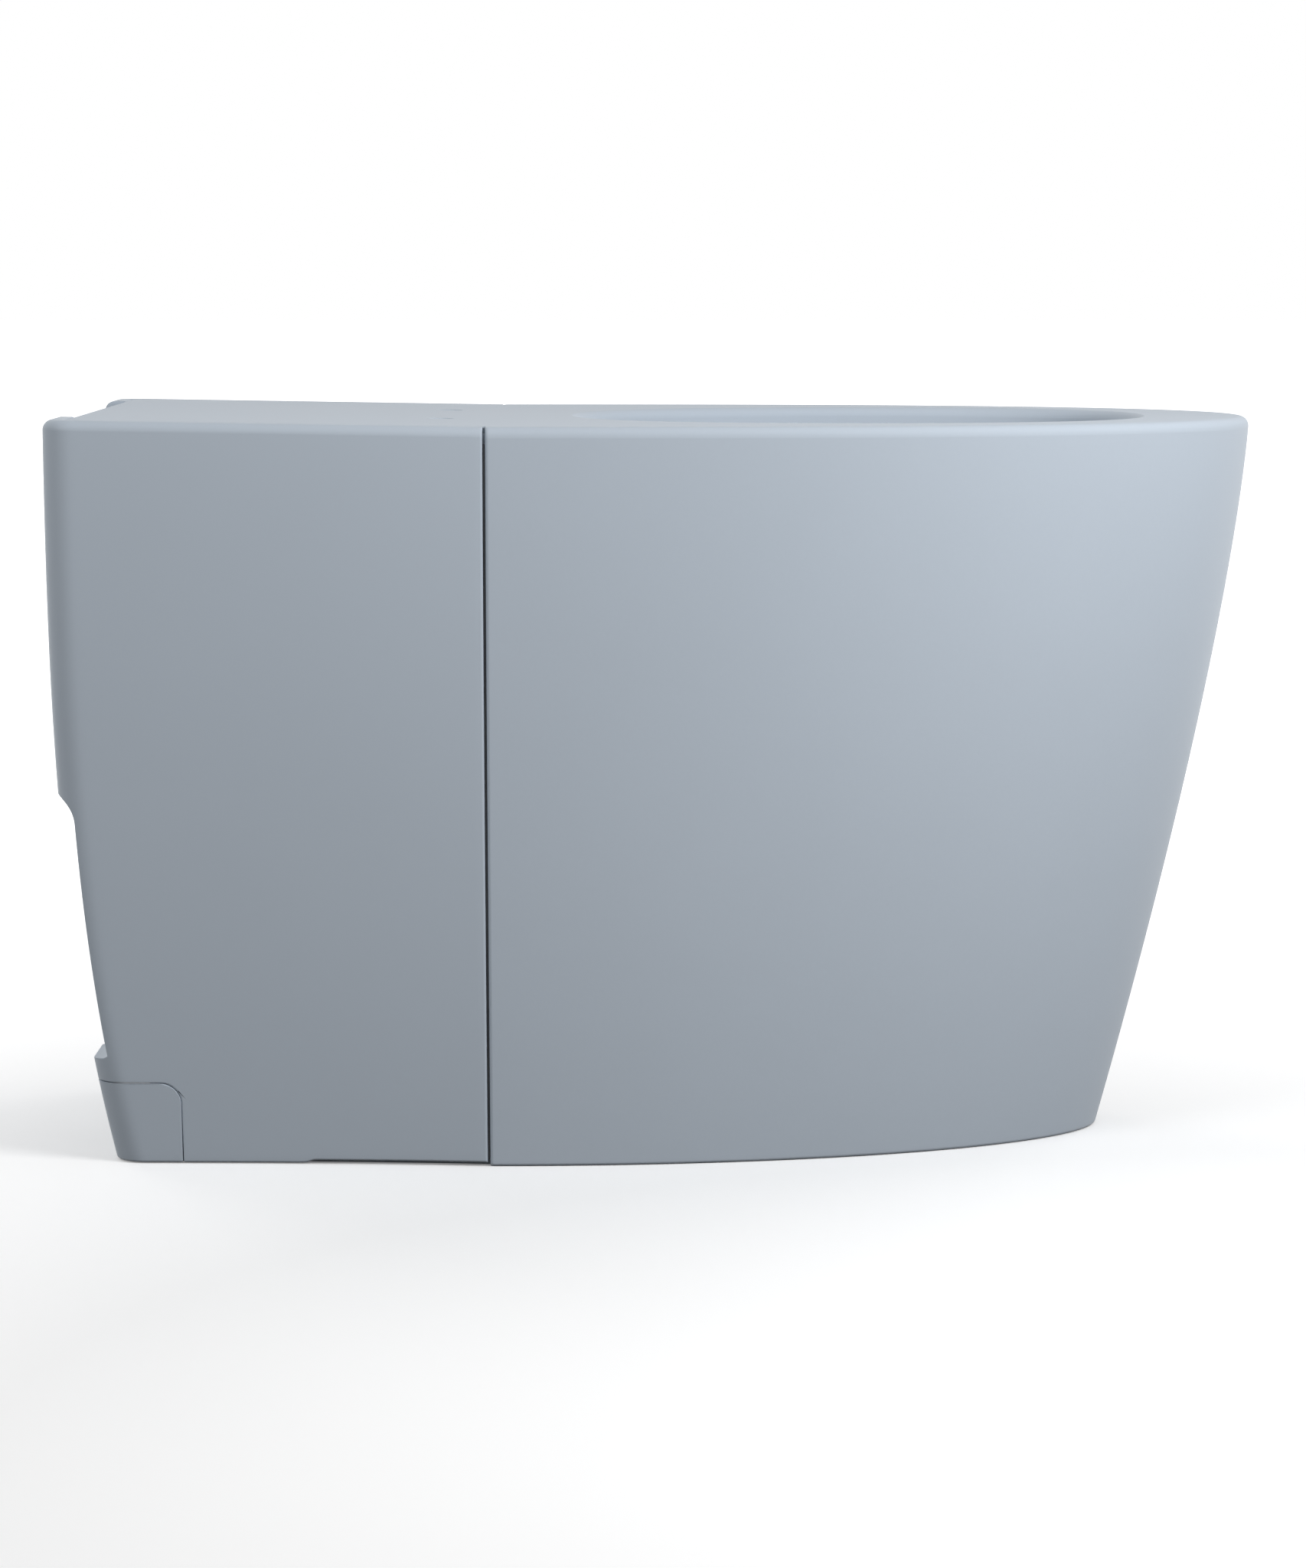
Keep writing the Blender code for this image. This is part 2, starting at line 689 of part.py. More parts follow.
def cover_rows():
    rows = [cover_half(cover_bottom, 0, 0)]
    for height, share in notch_rows():
        rows.append(cover_half(level(height), 0, NOTCH_DEPTH * share))
    for share in COVER_ROW_SHARES:
        rows.append(cover_half(level(mix(NOTCH_TOP, RIM_HEIGHT - TOP_FILLET, share)), 0, 0))
    for drop, inset in fillet_rows(TOP_FILLET):
        rows.append(cover_half(below_deck(drop), inset, 0))
    rows.append(cover_half(below_deck(0), LIP_REACH, 0))
    return rows


def inward(rows, r, c):
    """Unit vector into the shell at one point of its outer grid."""
    up = rows[min(r + 1, len(rows) - 1)][c] - rows[max(r - 1, 0)][c]
    along = rows[r][min(c + 1, len(rows[r]) - 1)] - rows[r][max(c - 1, 0)]
    return up.cross(along).normalized()


def shell(rows, thickness):
    """A wall of even thickness behind a grid of outer points."""
    bm = bmesh.new()
    outer = [[bm.verts.new(point) for point in row] for row in rows]
    inner = []
    for r, row in enumerate(rows):
        offsets = [inward(rows, r, c) * thickness for c in range(len(row))]
        inner.append([bm.verts.new(point + offset) for point, offset in zip(row, offsets)])
    last_r = len(rows) - 1
    last_c = len(rows[0]) - 1
    for r in range(last_r):
        for c in range(last_c):
            for grid in (outer, inner):
                bm.faces.new((grid[r][c], grid[r][c + 1], grid[r + 1][c + 1], grid[r + 1][c]))
        for c in (0, last_c):
            bm.faces.new((outer[r][c], outer[r + 1][c], inner[r + 1][c], inner[r][c]))
    for c in range(last_c):
        for r in (0, last_r):
            bm.faces.new((outer[r][c], outer[r][c + 1], inner[r][c + 1], inner[r][c]))
    return bm


def cover_shell(side):
    rows = cover_rows()
    if side < 0:
        rows = [mirrored(row) for row in rows]
    return shell(rows, side * COVER_WALL)


def corner_window(side, gap):
    """A block through the cover's wall with one rounded corner, for the corner cover's place."""
    front = REAR_X + CORNER_COVER_LENGTH - gap
    top = CORNER_COVER_HEIGHT - gap
    radius = CORNER_COVER_ROUND
    outline = [(front, -CUT_OVERRUN)]
    for step in range(CORNER_STEPS + 1):
        angle = math.pi / 2 * step / CORNER_STEPS
        x = front - radius * (1 - math.cos(angle))
        outline.append((x, top - radius * (1 - math.sin(angle))))
    outline += [(REAR_X - CUT_OVERRUN, top), (REAR_X - CUT_OVERRUN, -CUT_OVERRUN)]
    near = side_y(REAR_X, 0) - REAR_CORNER_RADIUS - REAR_RETURN - CUT_OVERRUN
    far = OVERALL_WIDTH / 2 + CUT_OVERRUN
    return lofted([[Vector((x, side * y, z)) for x, z in outline] for y in (near, far)])


def cover_studs(side):
    """Round studs from the middle of the cover's wall into the clips."""
    half = STUD_DIAMETER / 2
    bodies = []
    for x, z, y in clip_places():
        root = side_y(x, z) - COVER_WALL / 2 - y
        tip = CLIP_HEIGHT - STUD_GRIP
        bodies.append(moved(rod([(half, tip), (half, root)]), along_y(x, y, z, side)))
    return joined(bodies)


def make_side_cover(name, side):
    cover = piece("side_cover_" + name, cover_shell(side), MOULDED_COVER)
    combine(cover, helper("cover_studs_" + name, cover_studs(side)), "UNION")
    combine(cover, helper("corner_window_" + name, corner_window(side, 0)), "DIFFERENCE")
    x, z, y = clip_places()[-1]
    set_origin(cover, x, side * y, z)


def corner_pegs(side):
    half = PEG_DIAMETER / 2
    tip = HOLE_CLEARANCE - PEG_DEPTH
    root = FOOT_INSET - COVER_WALL / 2
    places = [along_y(x, y, FOOT_THICKNESS / 2, side) for x, y in peg_places()]
    return joined([moved(rod([(half, tip), (half, root)]), place) for place in places])


def make_corner_cover(name, side):
    cover = piece("corner_cover_" + name, cover_shell(side), MOULDED_COVER)
    window = corner_window(side, CORNER_COVER_GAP)
    combine(cover, helper("corner_block_" + name, window), "INTERSECT")
    combine(cover, helper("corner_pegs_" + name, corner_pegs(side)), "UNION")
    x, y = peg_places()[0]
    set_origin(cover, x, side * y, FOOT_THICKNESS / 2)


def make_seam_seal(name, side):
    """A foam strip between the china and the cover's front edge."""
    low_x = SEAM_X - SEAM_GAP + TOUCH_GAP
    high_x = SEAM_X - RETURN_DRAFT
    loops = []
    for share in SEAL_ROW_SHARES:
        z = RIM_HEIGHT * share
        outer = side_y(SEAM_X, z) - SEAM_EDGE_RADIUS
        inner = side_y(SEAM_X, z) - COVER_WALL - LEDGE_CLEARANCE / 2
        corners = ((low_x, outer), (high_x, outer), (high_x, inner), (low_x, inner))
        loops.append([Vector((x, side * y, z)) for x, y in corners])
    piece("seam_seal_" + name, lofted(loops), GREY_FOAM)


# Clips and their screws


def clip_cup():
    """A cup with a hole in its floor, open outwards."""
    outer = CLIP_DIAMETER / 2
    bore = STUD_DIAMETER / 2 + TOUCH_GAP
    hole = CLIP_SCREW_DIAMETER / 2 + TOUCH_GAP
    low = TOUCH_GAP
    wall = [(outer, low), (outer, CLIP_HEIGHT), (bore, CLIP_HEIGHT)]
    return turned(wall + [(bore, CLIP_FLOOR), (hole, CLIP_FLOOR), (hole, low)])


def clip_screw():
    shank = CLIP_SCREW_DIAMETER / 2
    head = CLIP_SCREW_HEAD_DIAMETER / 2
    low = CLIP_FLOOR + TOUCH_GAP
    tip = HOLE_CLEARANCE - CLIP_SCREW_DEPTH
    thread = [(shank / 2, tip), (shank, tip + shank), (shank, low)]
    return rod(thread + [(head, low), (head, low + CLIP_SCREW_HEAD_HEIGHT)])


def make_clips(name, side):
    for place_name, (x, z, y) in zip(CLIP_NAMES, clip_places(), strict=True):
        spot = along_y(x, y, z, side)
        piece(f"cover_clip_{name}_{place_name}", moved(clip_cup(), spot), BLACK_PLASTIC)
        piece(f"clip_screw_{name}_{place_name}", moved(clip_screw(), spot), BRIGHT_STEEL)


# Foot fixings


def make_foot_fixing(name, side):
    """Bolt, sleeve, washer, nut and cap, one above the other."""
    x, y = bolt_place()
    shank = BOLT_DIAMETER / 2
    sleeve = shank + SLEEVE_WALL
    foot = FOOT_THICKNESS
    washer_top = foot + TOUCH_GAP + WASHER_THICKNESS
    nut_low = washer_top + TOUCH_GAP
    nut_top = nut_low + NUT_HEIGHT
    bolt_top = foot + BOLT_ABOVE_FOOT
    cap_inside = bolt_top + CAP_HEADROOM
    nut_radius = NUT_ACROSS_FLATS / math.sqrt(3)
    bore = shank + TOUCH_GAP
    cap = CAP_DIAMETER / 2
    cap_top = cap_inside + CAP_WALL
    low = foot + TOUCH_GAP
    bodies = {
        "floor_bolt_": (rod([(shank, 0), (shank, bolt_top - shank / 2), (shank / 2, bolt_top)]), BRIGHT_STEEL),
        "bolt_sleeve_": (
            turned([(sleeve, TOUCH_GAP), (sleeve, foot), (bore, foot), (bore, TOUCH_GAP)]),
            WHITE_PLASTIC,
        ),
        "floor_washer_": (washer(WASHER_DIAMETER / 2, bore, low, washer_top), BRIGHT_STEEL),
        "floor_nut_": (hex_nut(nut_radius, bore, nut_low, nut_top), BRIGHT_STEEL),
        "bolt_cap_": (cap_body(cap, low, cap_inside, cap_top), WHITE_PLASTIC),
    }
    for kind, (bm, finish) in bodies.items():
        piece(kind + name, bm, finish).location = (x, side * y, 0)


def washer(outer, bore, low, high):
    return turned([(outer, low), (outer, high), (bore, high), (bore, low)])


def hex_nut(radius, bore, low, high):
    """Six flats outside and a round bore, both drawn with the same number of points."""
    bm = bmesh.new()
    corners = circle(radius, 0, NUT_POINTS)
    middles = circle(radius * math.cos(math.pi / 6), 0, NUT_POINTS)
    hexagon = [corners[i] if i % 2 == 0 else middles[i] for i in range(NUT_POINTS)]
    loops = []
    for outline in (hexagon, circle(bore, 0, NUT_POINTS)):
        loops.append([Vector((p.x, p.y, low)) for p in outline])
        loops.append([Vector((p.x, p.y, high)) for p in outline])
    skin(bm, [loops[0], loops[1], loops[3], loops[2]], closed=True)
    return bm


def cap_body(radius, low, inside, top):
    """A domed cup, open downwards."""
    bore = radius - CAP_WALL
    bm = bmesh.new()
    profile = [
        (bore / 2, inside),
        (bore, inside - CAP_HEADROOM / 2),
        (bore, low),
        (radius, low),
        (radius, top - CAP_HEADROOM),
        (radius * CAP_SHOULDER_SHARE, top - CAP_WALL / 2),
        (radius / 2, top),
    ]
    rings = skin(bm, [circle(r, z) for r, z in profile])
    bm.faces.new(rings[0])
    bm.faces.new(rings[-1])
    return bm


# Outlet socket


def make_outlet():
    """A box on the floor that carries the waste forward from the china's horn to the drain."""
    horn = TRAP_BORE / 2 + CHINA_WALL
    collar_bore = horn + SEAL_WALL + 2 * TOUCH_GAP
    collar = collar_bore + SOCKET_WALL
    drain_x = OUTLET_X + ROUGH_IN_SHIFT
    collar_top = SOCKET_HEIGHT + COLLAR_RISE
    at_horn = Matrix.Translation((OUTLET_X, 0, 0))
    at_drain = Matrix.Translation((drain_x, 0, 0))
    socket = piece(
        "outlet_socket", prism(obround(OUTLET_X, drain_x, collar), 0, SOCKET_HEIGHT), WHITE_PLASTIC
    )
    neck = rod([(collar, SOCKET_HEIGHT - SOCKET_WALL / 2), (collar, collar_top)])
    combine(socket, helper("socket_neck", moved(neck, at_horn)), "UNION")
    combine(socket, helper("socket_ears", socket_ears(collar, drain_x)), "UNION")
    chamber = prism(obround(OUTLET_X, drain_x, collar_bore), SOCKET_EAR_THICKNESS, SOCKET_HEIGHT - SOCKET_WALL)
    combine(socket, helper("socket_chamber", chamber), "DIFFERENCE")
    mouth = rod([(collar_bore, SOCKET_HEIGHT - 2 * SOCKET_WALL), (collar_bore, collar_top + CUT_OVERRUN)])
    combine(socket, helper("socket_mouth", moved(mouth, at_horn)), "DIFFERENCE")
    drain = rod([(DRAIN_BORE / 2, -CUT_OVERRUN), (DRAIN_BORE / 2, 2 * SOCKET_EAR_THICKNESS)])
    combine(socket, helper("socket_drain", moved(drain, at_drain)), "DIFFERENCE")
    holes = [moved(screw_hole(), place) for place in screw_places().values()]
    combine(socket, helper("socket_screw_holes", joined(holes)), "DIFFERENCE")
    seal_top = collar_top - SOCKET_WALL / 2
    seal = washer(horn + TOUCH_GAP + SEAL_WALL, horn + TOUCH_GAP, seal_top - SEAL_HEIGHT, seal_top)
    piece("outlet_seal", moved(seal, at_horn), DARK_RUBBER)
    for name, place in screw_places().items():
        piece("socket_screw_" + name, moved(socket_screw(), place), BRIGHT_STEEL)


def socket_ears(collar, drain_x):
    """A flat plate under the box that sticks out at both ends for the screws."""
    rear = OUTLET_X - collar - SOCKET_EAR_LENGTH
    front = drain_x + collar + SOCKET_EAR_LENGTH
    half = SOCKET_EAR_WIDTH / 2
    outline = [(rear, -half), (front, -half), (front, half), (rear, half)]
    return prism(outline, 0, SOCKET_EAR_THICKNESS)


def screw_hole():
    radius = SOCKET_SCREW_DIAMETER / 2 + TOUCH_GAP
    return rod([(radius, -CUT_OVERRUN), (radius, 2 * SOCKET_EAR_THICKNESS)])


def socket_screw():
    """The shank ends at the floor, where the real one goes on into it."""
    shank = SOCKET_SCREW_DIAMETER / 2
    head = SOCKET_SCREW_HEAD_DIAMETER / 2
    low = SOCKET_EAR_THICKNESS + TOUCH_GAP
    head_top = (head * SCREW_HEAD_TOP_SHARE, low + SOCKET_SCREW_HEAD_HEIGHT)
    return rod([(shank, 0), (shank, low), (head, low), head_top])


def screw_places():
    collar = TRAP_BORE / 2 + CHINA_WALL + SEAL_WALL + 2 * TOUCH_GAP + SOCKET_WALL
    reach = collar + SOCKET_EAR_LENGTH / 2
    places = {}
    for end, x in (("rear", OUTLET_X - reach), ("front", OUTLET_X + ROUGH_IN_SHIFT + reach)):
        for name, side in SIDES:
            y = side * SOCKET_SCREW_SPACING / 2
            places[f"{end}_{name}"] = Matrix.Translation((x, y, 0))
    return places


# Inlet


def along_x(x):
    """Turns a body made about Z so that it points towards the rear, from x on."""
    return Matrix.Translation((x, 0, FLUSH_HEIGHT)) @ Matrix.Rotation(-math.pi / 2, 4, "Y")


def make_inlet():
    """A rubber sleeve in the china's socket and the rigid pipe stub that it grips."""
    face_x = inlet_face_x()
    socket = INLET_BORE / 2 - TOUCH_GAP
    bore = socket - INLET_SEAL_WALL
    lip = INLET_BORE / 2 + INLET_SEAL_WALL
    profile = [
        (socket, -INLET_SEAL_LENGTH),
        (socket, TOUCH_GAP),
        (lip, TOUCH_GAP),
        (lip, INLET_SEAL_LIP),
        (bore, INLET_SEAL_LIP),
        (bore, -INLET_SEAL_LENGTH),
    ]
    piece("inlet_seal", moved(turned(profile), along_x(face_x)), DARK_RUBBER)
    pipe_radius = bore - TOUCH_GAP
    inside = pipe_radius - CONNECTOR_WALL
    flange = pipe_radius + CONNECTOR_FLANGE_RISE
    low = INLET_SEAL_LIP + TOUCH_GAP
    end = face_x - REAR_X - CONNECTOR_REAR_INSET
    profile = [
        (pipe_radius, -INLET_SEAL_LENGTH),
        (pipe_radius, low),
        (flange, low),
        (flange, low + CONNECTOR_FLANGE_LENGTH),
        (pipe_radius, low + CONNECTOR_FLANGE_LENGTH),
        (pipe_radius, end),
        (inside, end),
        (inside, -INLET_SEAL_LENGTH),
    ]
    piece("inlet_connector", moved(turned(profile), along_x(face_x)), WHITE_PLASTIC)


def clear_scene():
    for obj in list(bpy.data.objects):
        bpy.data.objects.remove(obj)


clear_scene()
make_china()
make_outlet()
make_inlet()
for side_name, side_sign in SIDES:
    make_side_cover(side_name, side_sign)
    make_corner_cover(side_name, side_sign)
    make_seam_seal(side_name, side_sign)
    make_clips(side_name, side_sign)
    make_foot_fixing(side_name, side_sign)
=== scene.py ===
"""Looks of an elongated toilet bowl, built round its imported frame.

Metres, with +Z up and +X towards the front of the bowl. Left is the side at -Y, which the camera sees.
"""
from math import asin, copysign, cos, pi, radians, sin, sqrt, tan

import bmesh
import bpy
from mathutils import Matrix, Vector


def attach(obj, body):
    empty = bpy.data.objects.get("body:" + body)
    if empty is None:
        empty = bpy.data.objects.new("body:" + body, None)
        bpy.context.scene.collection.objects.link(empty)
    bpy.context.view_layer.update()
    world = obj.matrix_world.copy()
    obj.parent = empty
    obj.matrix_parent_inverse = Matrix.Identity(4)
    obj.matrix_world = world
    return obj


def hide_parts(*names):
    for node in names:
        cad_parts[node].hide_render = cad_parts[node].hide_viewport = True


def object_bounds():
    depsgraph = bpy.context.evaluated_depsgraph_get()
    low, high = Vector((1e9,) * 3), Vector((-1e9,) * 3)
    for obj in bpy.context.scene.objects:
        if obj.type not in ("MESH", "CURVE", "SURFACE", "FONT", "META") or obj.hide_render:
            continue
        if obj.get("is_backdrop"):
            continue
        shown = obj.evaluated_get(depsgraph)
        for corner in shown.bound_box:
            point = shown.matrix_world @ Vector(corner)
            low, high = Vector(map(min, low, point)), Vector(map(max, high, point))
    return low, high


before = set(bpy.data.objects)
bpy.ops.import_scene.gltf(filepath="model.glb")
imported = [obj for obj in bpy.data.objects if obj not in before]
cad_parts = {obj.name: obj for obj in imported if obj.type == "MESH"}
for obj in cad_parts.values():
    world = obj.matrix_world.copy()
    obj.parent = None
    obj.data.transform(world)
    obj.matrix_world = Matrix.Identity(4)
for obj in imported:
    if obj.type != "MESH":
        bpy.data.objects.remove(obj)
cad_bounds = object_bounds()

# Camera and studio. A long lens looks at the bowl's left side from just above the rim. The floor and the
# backdrop are white to the camera, and the floor keeps a soft shadow. Round the bowl the floor's glow is
# dimmed, painted shade that greys the floor there together with its real shadow. Two soft lamps stand on
# the camera's side and two weaker ones behind the bowl, and the white room fills the rest.

IMAGE_LONG_SIDE = 2048
FOCAL_PIXELS = 6356.65
SENSOR = 36.0
CAMERA_PLACE = (-0.0061, -2.8608, 0.5204)
CAMERA_PITCH = 0.1108
FLOOR_REACH = 30.0
LAMP_AIM = (0.1, 0.0, 0.2)
LAMPS = {
    "rear_left_lamp": {"place": (-1.9, -1.9, 1.5), "size": 1.5, "power": 17.8, "mirrored": True},
    "nose_lamp": {"place": (0.9, -0.9, 0.8), "size": 0.7, "power": 12.0, "mirrored": False},
    "behind_lamp_0": {"place": (-1.6, 1.9, 0.9), "size": 1.2, "power": 9.0, "mirrored": False},
    "behind_lamp_1": {"place": (1.6, 1.9, 0.9), "size": 1.2, "power": 9.0, "mirrored": False},
}
ROOM_LIGHT = 0.40
FLOOR_BOUNCE = 0.04
FLOOR_SHADE = 0.95
# Near the bowl the floor's glow drops to FLOOR_GLOW and it rises to full white further away: painted shade
# round the bowl.
FLOOR_GLOW = 0.08
DIMMED_GLOW_CENTRE = (0.35, -0.75, 0.0)
DIMMED_GLOW_RADIUS = 0.65
GLOW_REACH = 1.2


def operator(operation, reflected=False):
    """A method that adds a Math node. The socket comes first in it, or second where it is reflected."""

    def method(self, other):
        first, second = (other, self) if reflected else (self, other)
        return self.tree.node("ShaderNodeMath", {0: first, 1: second}, operation=operation)

    return method


class Value:
    """A node's socket that takes part in sums. 1 - mask adds the Math node."""

    def __init__(self, tree, socket):
        self.tree = tree
        self.socket = socket

    __add__ = operator("ADD")
    __radd__ = operator("ADD", reflected=True)
    __sub__ = operator("SUBTRACT")
    __rsub__ = operator("SUBTRACT", reflected=True)
    __mul__ = operator("MULTIPLY")
    __rmul__ = operator("MULTIPLY", reflected=True)
    __truediv__ = operator("DIVIDE")
    __pow__ = operator("POWER")
    below = operator("LESS_THAN")
    at_least = operator("MAXIMUM")


class NodeTree:
    """Adds nodes to a material's, the world's or a Geometry Nodes tree."""

    def __init__(self, tree):
        self.tree = tree

    def node(self, kind, inputs=None, output=0, **settings):
        new = self.tree.nodes.new(kind)
        for name, value in settings.items():
            setattr(new, name, value)
        for key, value in (inputs or {}).items():
            self.feed(new.inputs[key], value)
        return Value(self, new.outputs[output] if new.outputs else None)

    def mixed(self, share, low, high):
        """A colour between two others."""
        new = self.tree.nodes.new("ShaderNodeMix")
        new.data_type = "RGBA"
        sockets = [socket for socket in new.inputs if socket.enabled]
        for socket, value in zip(sockets, (share, low, high)):
            self.feed(socket, value)
        return Value(self, next(socket for socket in new.outputs if socket.enabled))

    def feed(self, socket, value):
        for item in value if isinstance(value, list) else [value]:
            if isinstance(item, Value):
                self.tree.links.new(item.socket, socket)
            else:
                socket.default_value = item


def grey(level):
    return (level, level, level, 1)


def placed(name, data):
    """A new object in the scene."""
    obj = bpy.data.objects.new(name, data)
    bpy.context.collection.objects.link(obj)
    return obj


def make_camera():
    data = bpy.data.cameras.new("camera")
    data.sensor_width = SENSOR
    data.lens = SENSOR * FOCAL_PIXELS / IMAGE_LONG_SIDE
    camera = placed("camera", data)
    camera.location = CAMERA_PLACE
    camera.rotation_euler = (pi / 2 - CAMERA_PITCH, 0, 0)
    bpy.context.scene.camera = camera


def make_lamp(name, place, size, power, mirrored):
    """A soft round lamp aimed at the bowl. The glaze shows its image only where it is mirrored."""
    data = bpy.data.lights.new(name, "AREA")
    data.shape = "DISK"
    data.size = size
    data.energy = power
    lamp = placed(name, data)
    lamp.location = place
    lamp.rotation_euler = (Vector(LAMP_AIM) - lamp.location).to_track_quat("-Z", "Y").to_euler()
    lamp.visible_glossy = mirrored


def seen_directly(tree):
    """1 where the camera looks straight at a surface, in a mirror or through glass."""
    rays = tree.node("ShaderNodeLightPath").socket.node.outputs
    kinds = ("Is Camera Ray", "Is Glossy Ray", "Is Transmission Ray")
    direct, in_mirror, through = (Value(tree, rays[kind]) for kind in kinds)
    return direct.at_least(in_mirror + through)


def make_world():
    world = bpy.data.worlds.new("studio")
    bpy.context.scene.world = world
    world.use_nodes = True
    tree = NodeTree(world.node_tree)
    background = world.node_tree.nodes["Background"]
    tree.feed(background.inputs["Color"], grey(1))
    tree.feed(background.inputs["Strength"], ROOM_LIGHT + seen_directly(tree) * (1 - ROOM_LIGHT))


def make_floor():
    mesh = bpy.data.meshes.new("floor")
    corners = [(-1, -1, 0), (1, -1, 0), (1, 1, 0), (-1, 1, 0)]
    mesh.from_pydata([Vector(corner) * FLOOR_REACH for corner in corners], [], [(0, 1, 2, 3)])
    floor = placed("floor", mesh)
    material = bpy.data.materials.new("studio_floor")
    material.use_nodes = True
    material.node_tree.nodes.clear()
    tree = NodeTree(material.node_tree)
    direct = seen_directly(tree)
    colour = tree.mixed(direct, grey(FLOOR_BOUNCE), grey(FLOOR_SHADE))
    shade = tree.node("ShaderNodeBsdfDiffuse", {"Color": colour})
    place = tree.node("ShaderNodeTexCoord", output="Object")
    # Painted shade: the glow is dimmed near the bowl and climbs to full white with distance, greying the
    # floor round the bowl besides its real shadow.
    away = tree.node("ShaderNodeVectorMath", {0: place, 1: DIMMED_GLOW_CENTRE}, "Value", operation="DISTANCE")
    beyond = (away - DIMMED_GLOW_RADIUS).at_least(0.0)
    fade = tree.node("ShaderNodeMath", {0: beyond * (-1 / GLOW_REACH)}, operation="EXPONENT")
    glow = tree.node("ShaderNodeEmission", {"Strength": direct * (1 - fade * (1 - FLOOR_GLOW))})
    both = tree.node("ShaderNodeAddShader", {0: shade, 1: glow})
    tree.node("ShaderNodeOutputMaterial", {"Surface": both})
    mesh.materials.append(material)
    floor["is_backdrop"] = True


make_camera()
make_world()
make_floor()
for lamp_name, lamp_values in LAMPS.items():
    make_lamp(lamp_name, **lamp_values)
bpy.context.scene.view_settings.view_transform = "Standard"

# China body. Vitreous china, slip cast with its rim, basin, front skirt, trapway and foot, then glazed
# blue-grey and fired in one piece. The inside of the hollow and the underside of the foot stay bare.

SIDES = (("left", -1), ("right", 1))
RIM_HEIGHT = 0.420
OVERALL_LENGTH = 0.685
OVERALL_WIDTH = 0.384
DECK_RISE = 0.0038
COVER_LENGTH = 0.2443
NOSE_SETBACK = 0.0855
REAR_SETBACK = 0.0304
SIDE_SETBACK = 0.048
REAR_TAPER = 0.0092
NOSE_EXPONENT = 1.335
REAR_EXPONENT = 3.1
SIDE_EXPONENT = 1.5
TAPER_EXPONENT = 3
RIM_LENGTH_EXPONENT = 3.0
FOOT_LENGTH_EXPONENT = 2.0
RIM_WIDTH_EXPONENT = 2.05
FOOT_WIDTH_EXPONENT = 1.8

TOP_FILLET = 0.006
REAR_CORNER_RADIUS = 0.018
CUT_EDGE_RADIUS = 0.0018
INNER_CUT_RADIUS = CUT_EDGE_RADIUS / 4
INNER_CORNER_RADIUS = 0.004
SEAM_EDGE_RADIUS = 0.002
RETURN_DRAFT = 0.0003
CHINA_WALL = 0.010
RIM_DEPTH = 0.018
WALL_INSET = 0.044
FOOT_INSET = 0.006
FOOT_THICKNESS = 0.016
FOOT_EDGE_RADIUS = 0.002
FOOT_TOP_RADIUS = 0.003
WALL_FILLET = 0.006
HOLLOW_FILLET = 0.005
LEDGE_INSET = 0.005
LEDGE_RADIUS = 0.003
LEDGE_SEAT = 0.0038
FIELD_INSET = 0.0128
FIELD_EDGE_RADIUS = 0.0015

FRONT_RIM_WIDTH = 0.066
SIDE_RIM_WIDTH = 0.064
OPENING_BEHIND = 0.049
OPENING_EDGE_RADIUS = 0.006
SUMP_LENGTH = 0.090
SUMP_WIDTH = 0.080
SUMP_FLOOR = 0.060
BASIN_PLAN_EXPONENT = 2.3
BASIN_DEPTH_EXPONENT = 2.2
BASIN_SPREAD_EXPONENT = 1.6
BASIN_REAR_EXPONENT = 1.4

TRAP_BORE = 0.054
TRAP_DIP_HEIGHT = 0.090
TRAP_RISE_ANGLE = radians(58)
TRAP_BEND_RADIUS = 0.044
OUTLET_FROM_REAR = 0.2225
HEEL_FROM_OUTLET = 0.140
SUMP_FROM_HEEL = 0.080
HORN_END_HEIGHT = 0.050

INLET_BORE = 0.055
INLET_BELOW_RIM = 0.075
INLET_BOSS_LENGTH = 0.008
CHANNEL_ROUND_LENGTH = 0.150
CHANNEL_MOUTH_WIDTH = 0.084
CHANNEL_MOUTH_HEIGHT = 0.018
MOUTH_FROM_OPENING = 0.020

SEAT_HOLE_FROM_NOSE = 0.470
SEAT_HOLE_SPACING = 0.140
SEAT_HOLE_DIAMETER = 0.014
CLIP_NAMES = ("upper_front", "upper_rear", "lower")
CLIP_BACK_SHARES = (0.17, 0.72, 0.45)
CLIP_HEIGHT_SHARES = (0.80, 0.80, 0.33)
CLIP_BOSS_DIAMETER = 0.028
CLIP_BOSS_HEIGHT = 0.014
CLIP_HOLE_DIAMETER = 0.0051
CLIP_HOLE_DEPTH = 0.011
BOLT_FROM_SEAM = 0.100
BOLT_FROM_FOOT_EDGE = 0.01325
BOLT_HOLE_DIAMETER = 0.0122
PEG_HOLE_DIAMETER = 0.0056
PEG_HOLE_DEPTH = 0.010
PEG_FROM_REAR = 0.0632
PEG_SPACING = 0.011
CUT_OVERRUN = 0.010
JOIN_GAP = 0.00015

SKIRT_FOOT_TOP = 0.12 * RIM_HEIGHT
SKIRT_WALL_TOP = 0.86 * RIM_HEIGHT
SKIRT_LEDGE_LOW = 0.93 * RIM_HEIGHT
CLIP_BOSS_EDGE = 0.0012
SEAT_HOLE_EDGE = 0.0015

GLAZE_COLOUR = (0.504, 0.566, 0.638)
GLAZE_ROUGHNESS = 0.45
GLAZE_WAVINESS = 0.00012
PEEL_PER_WAVE = 0.03
GLAZE_GLOSS = 0.2
BISCUIT_COLOUR = (0.70, 0.69, 0.66)

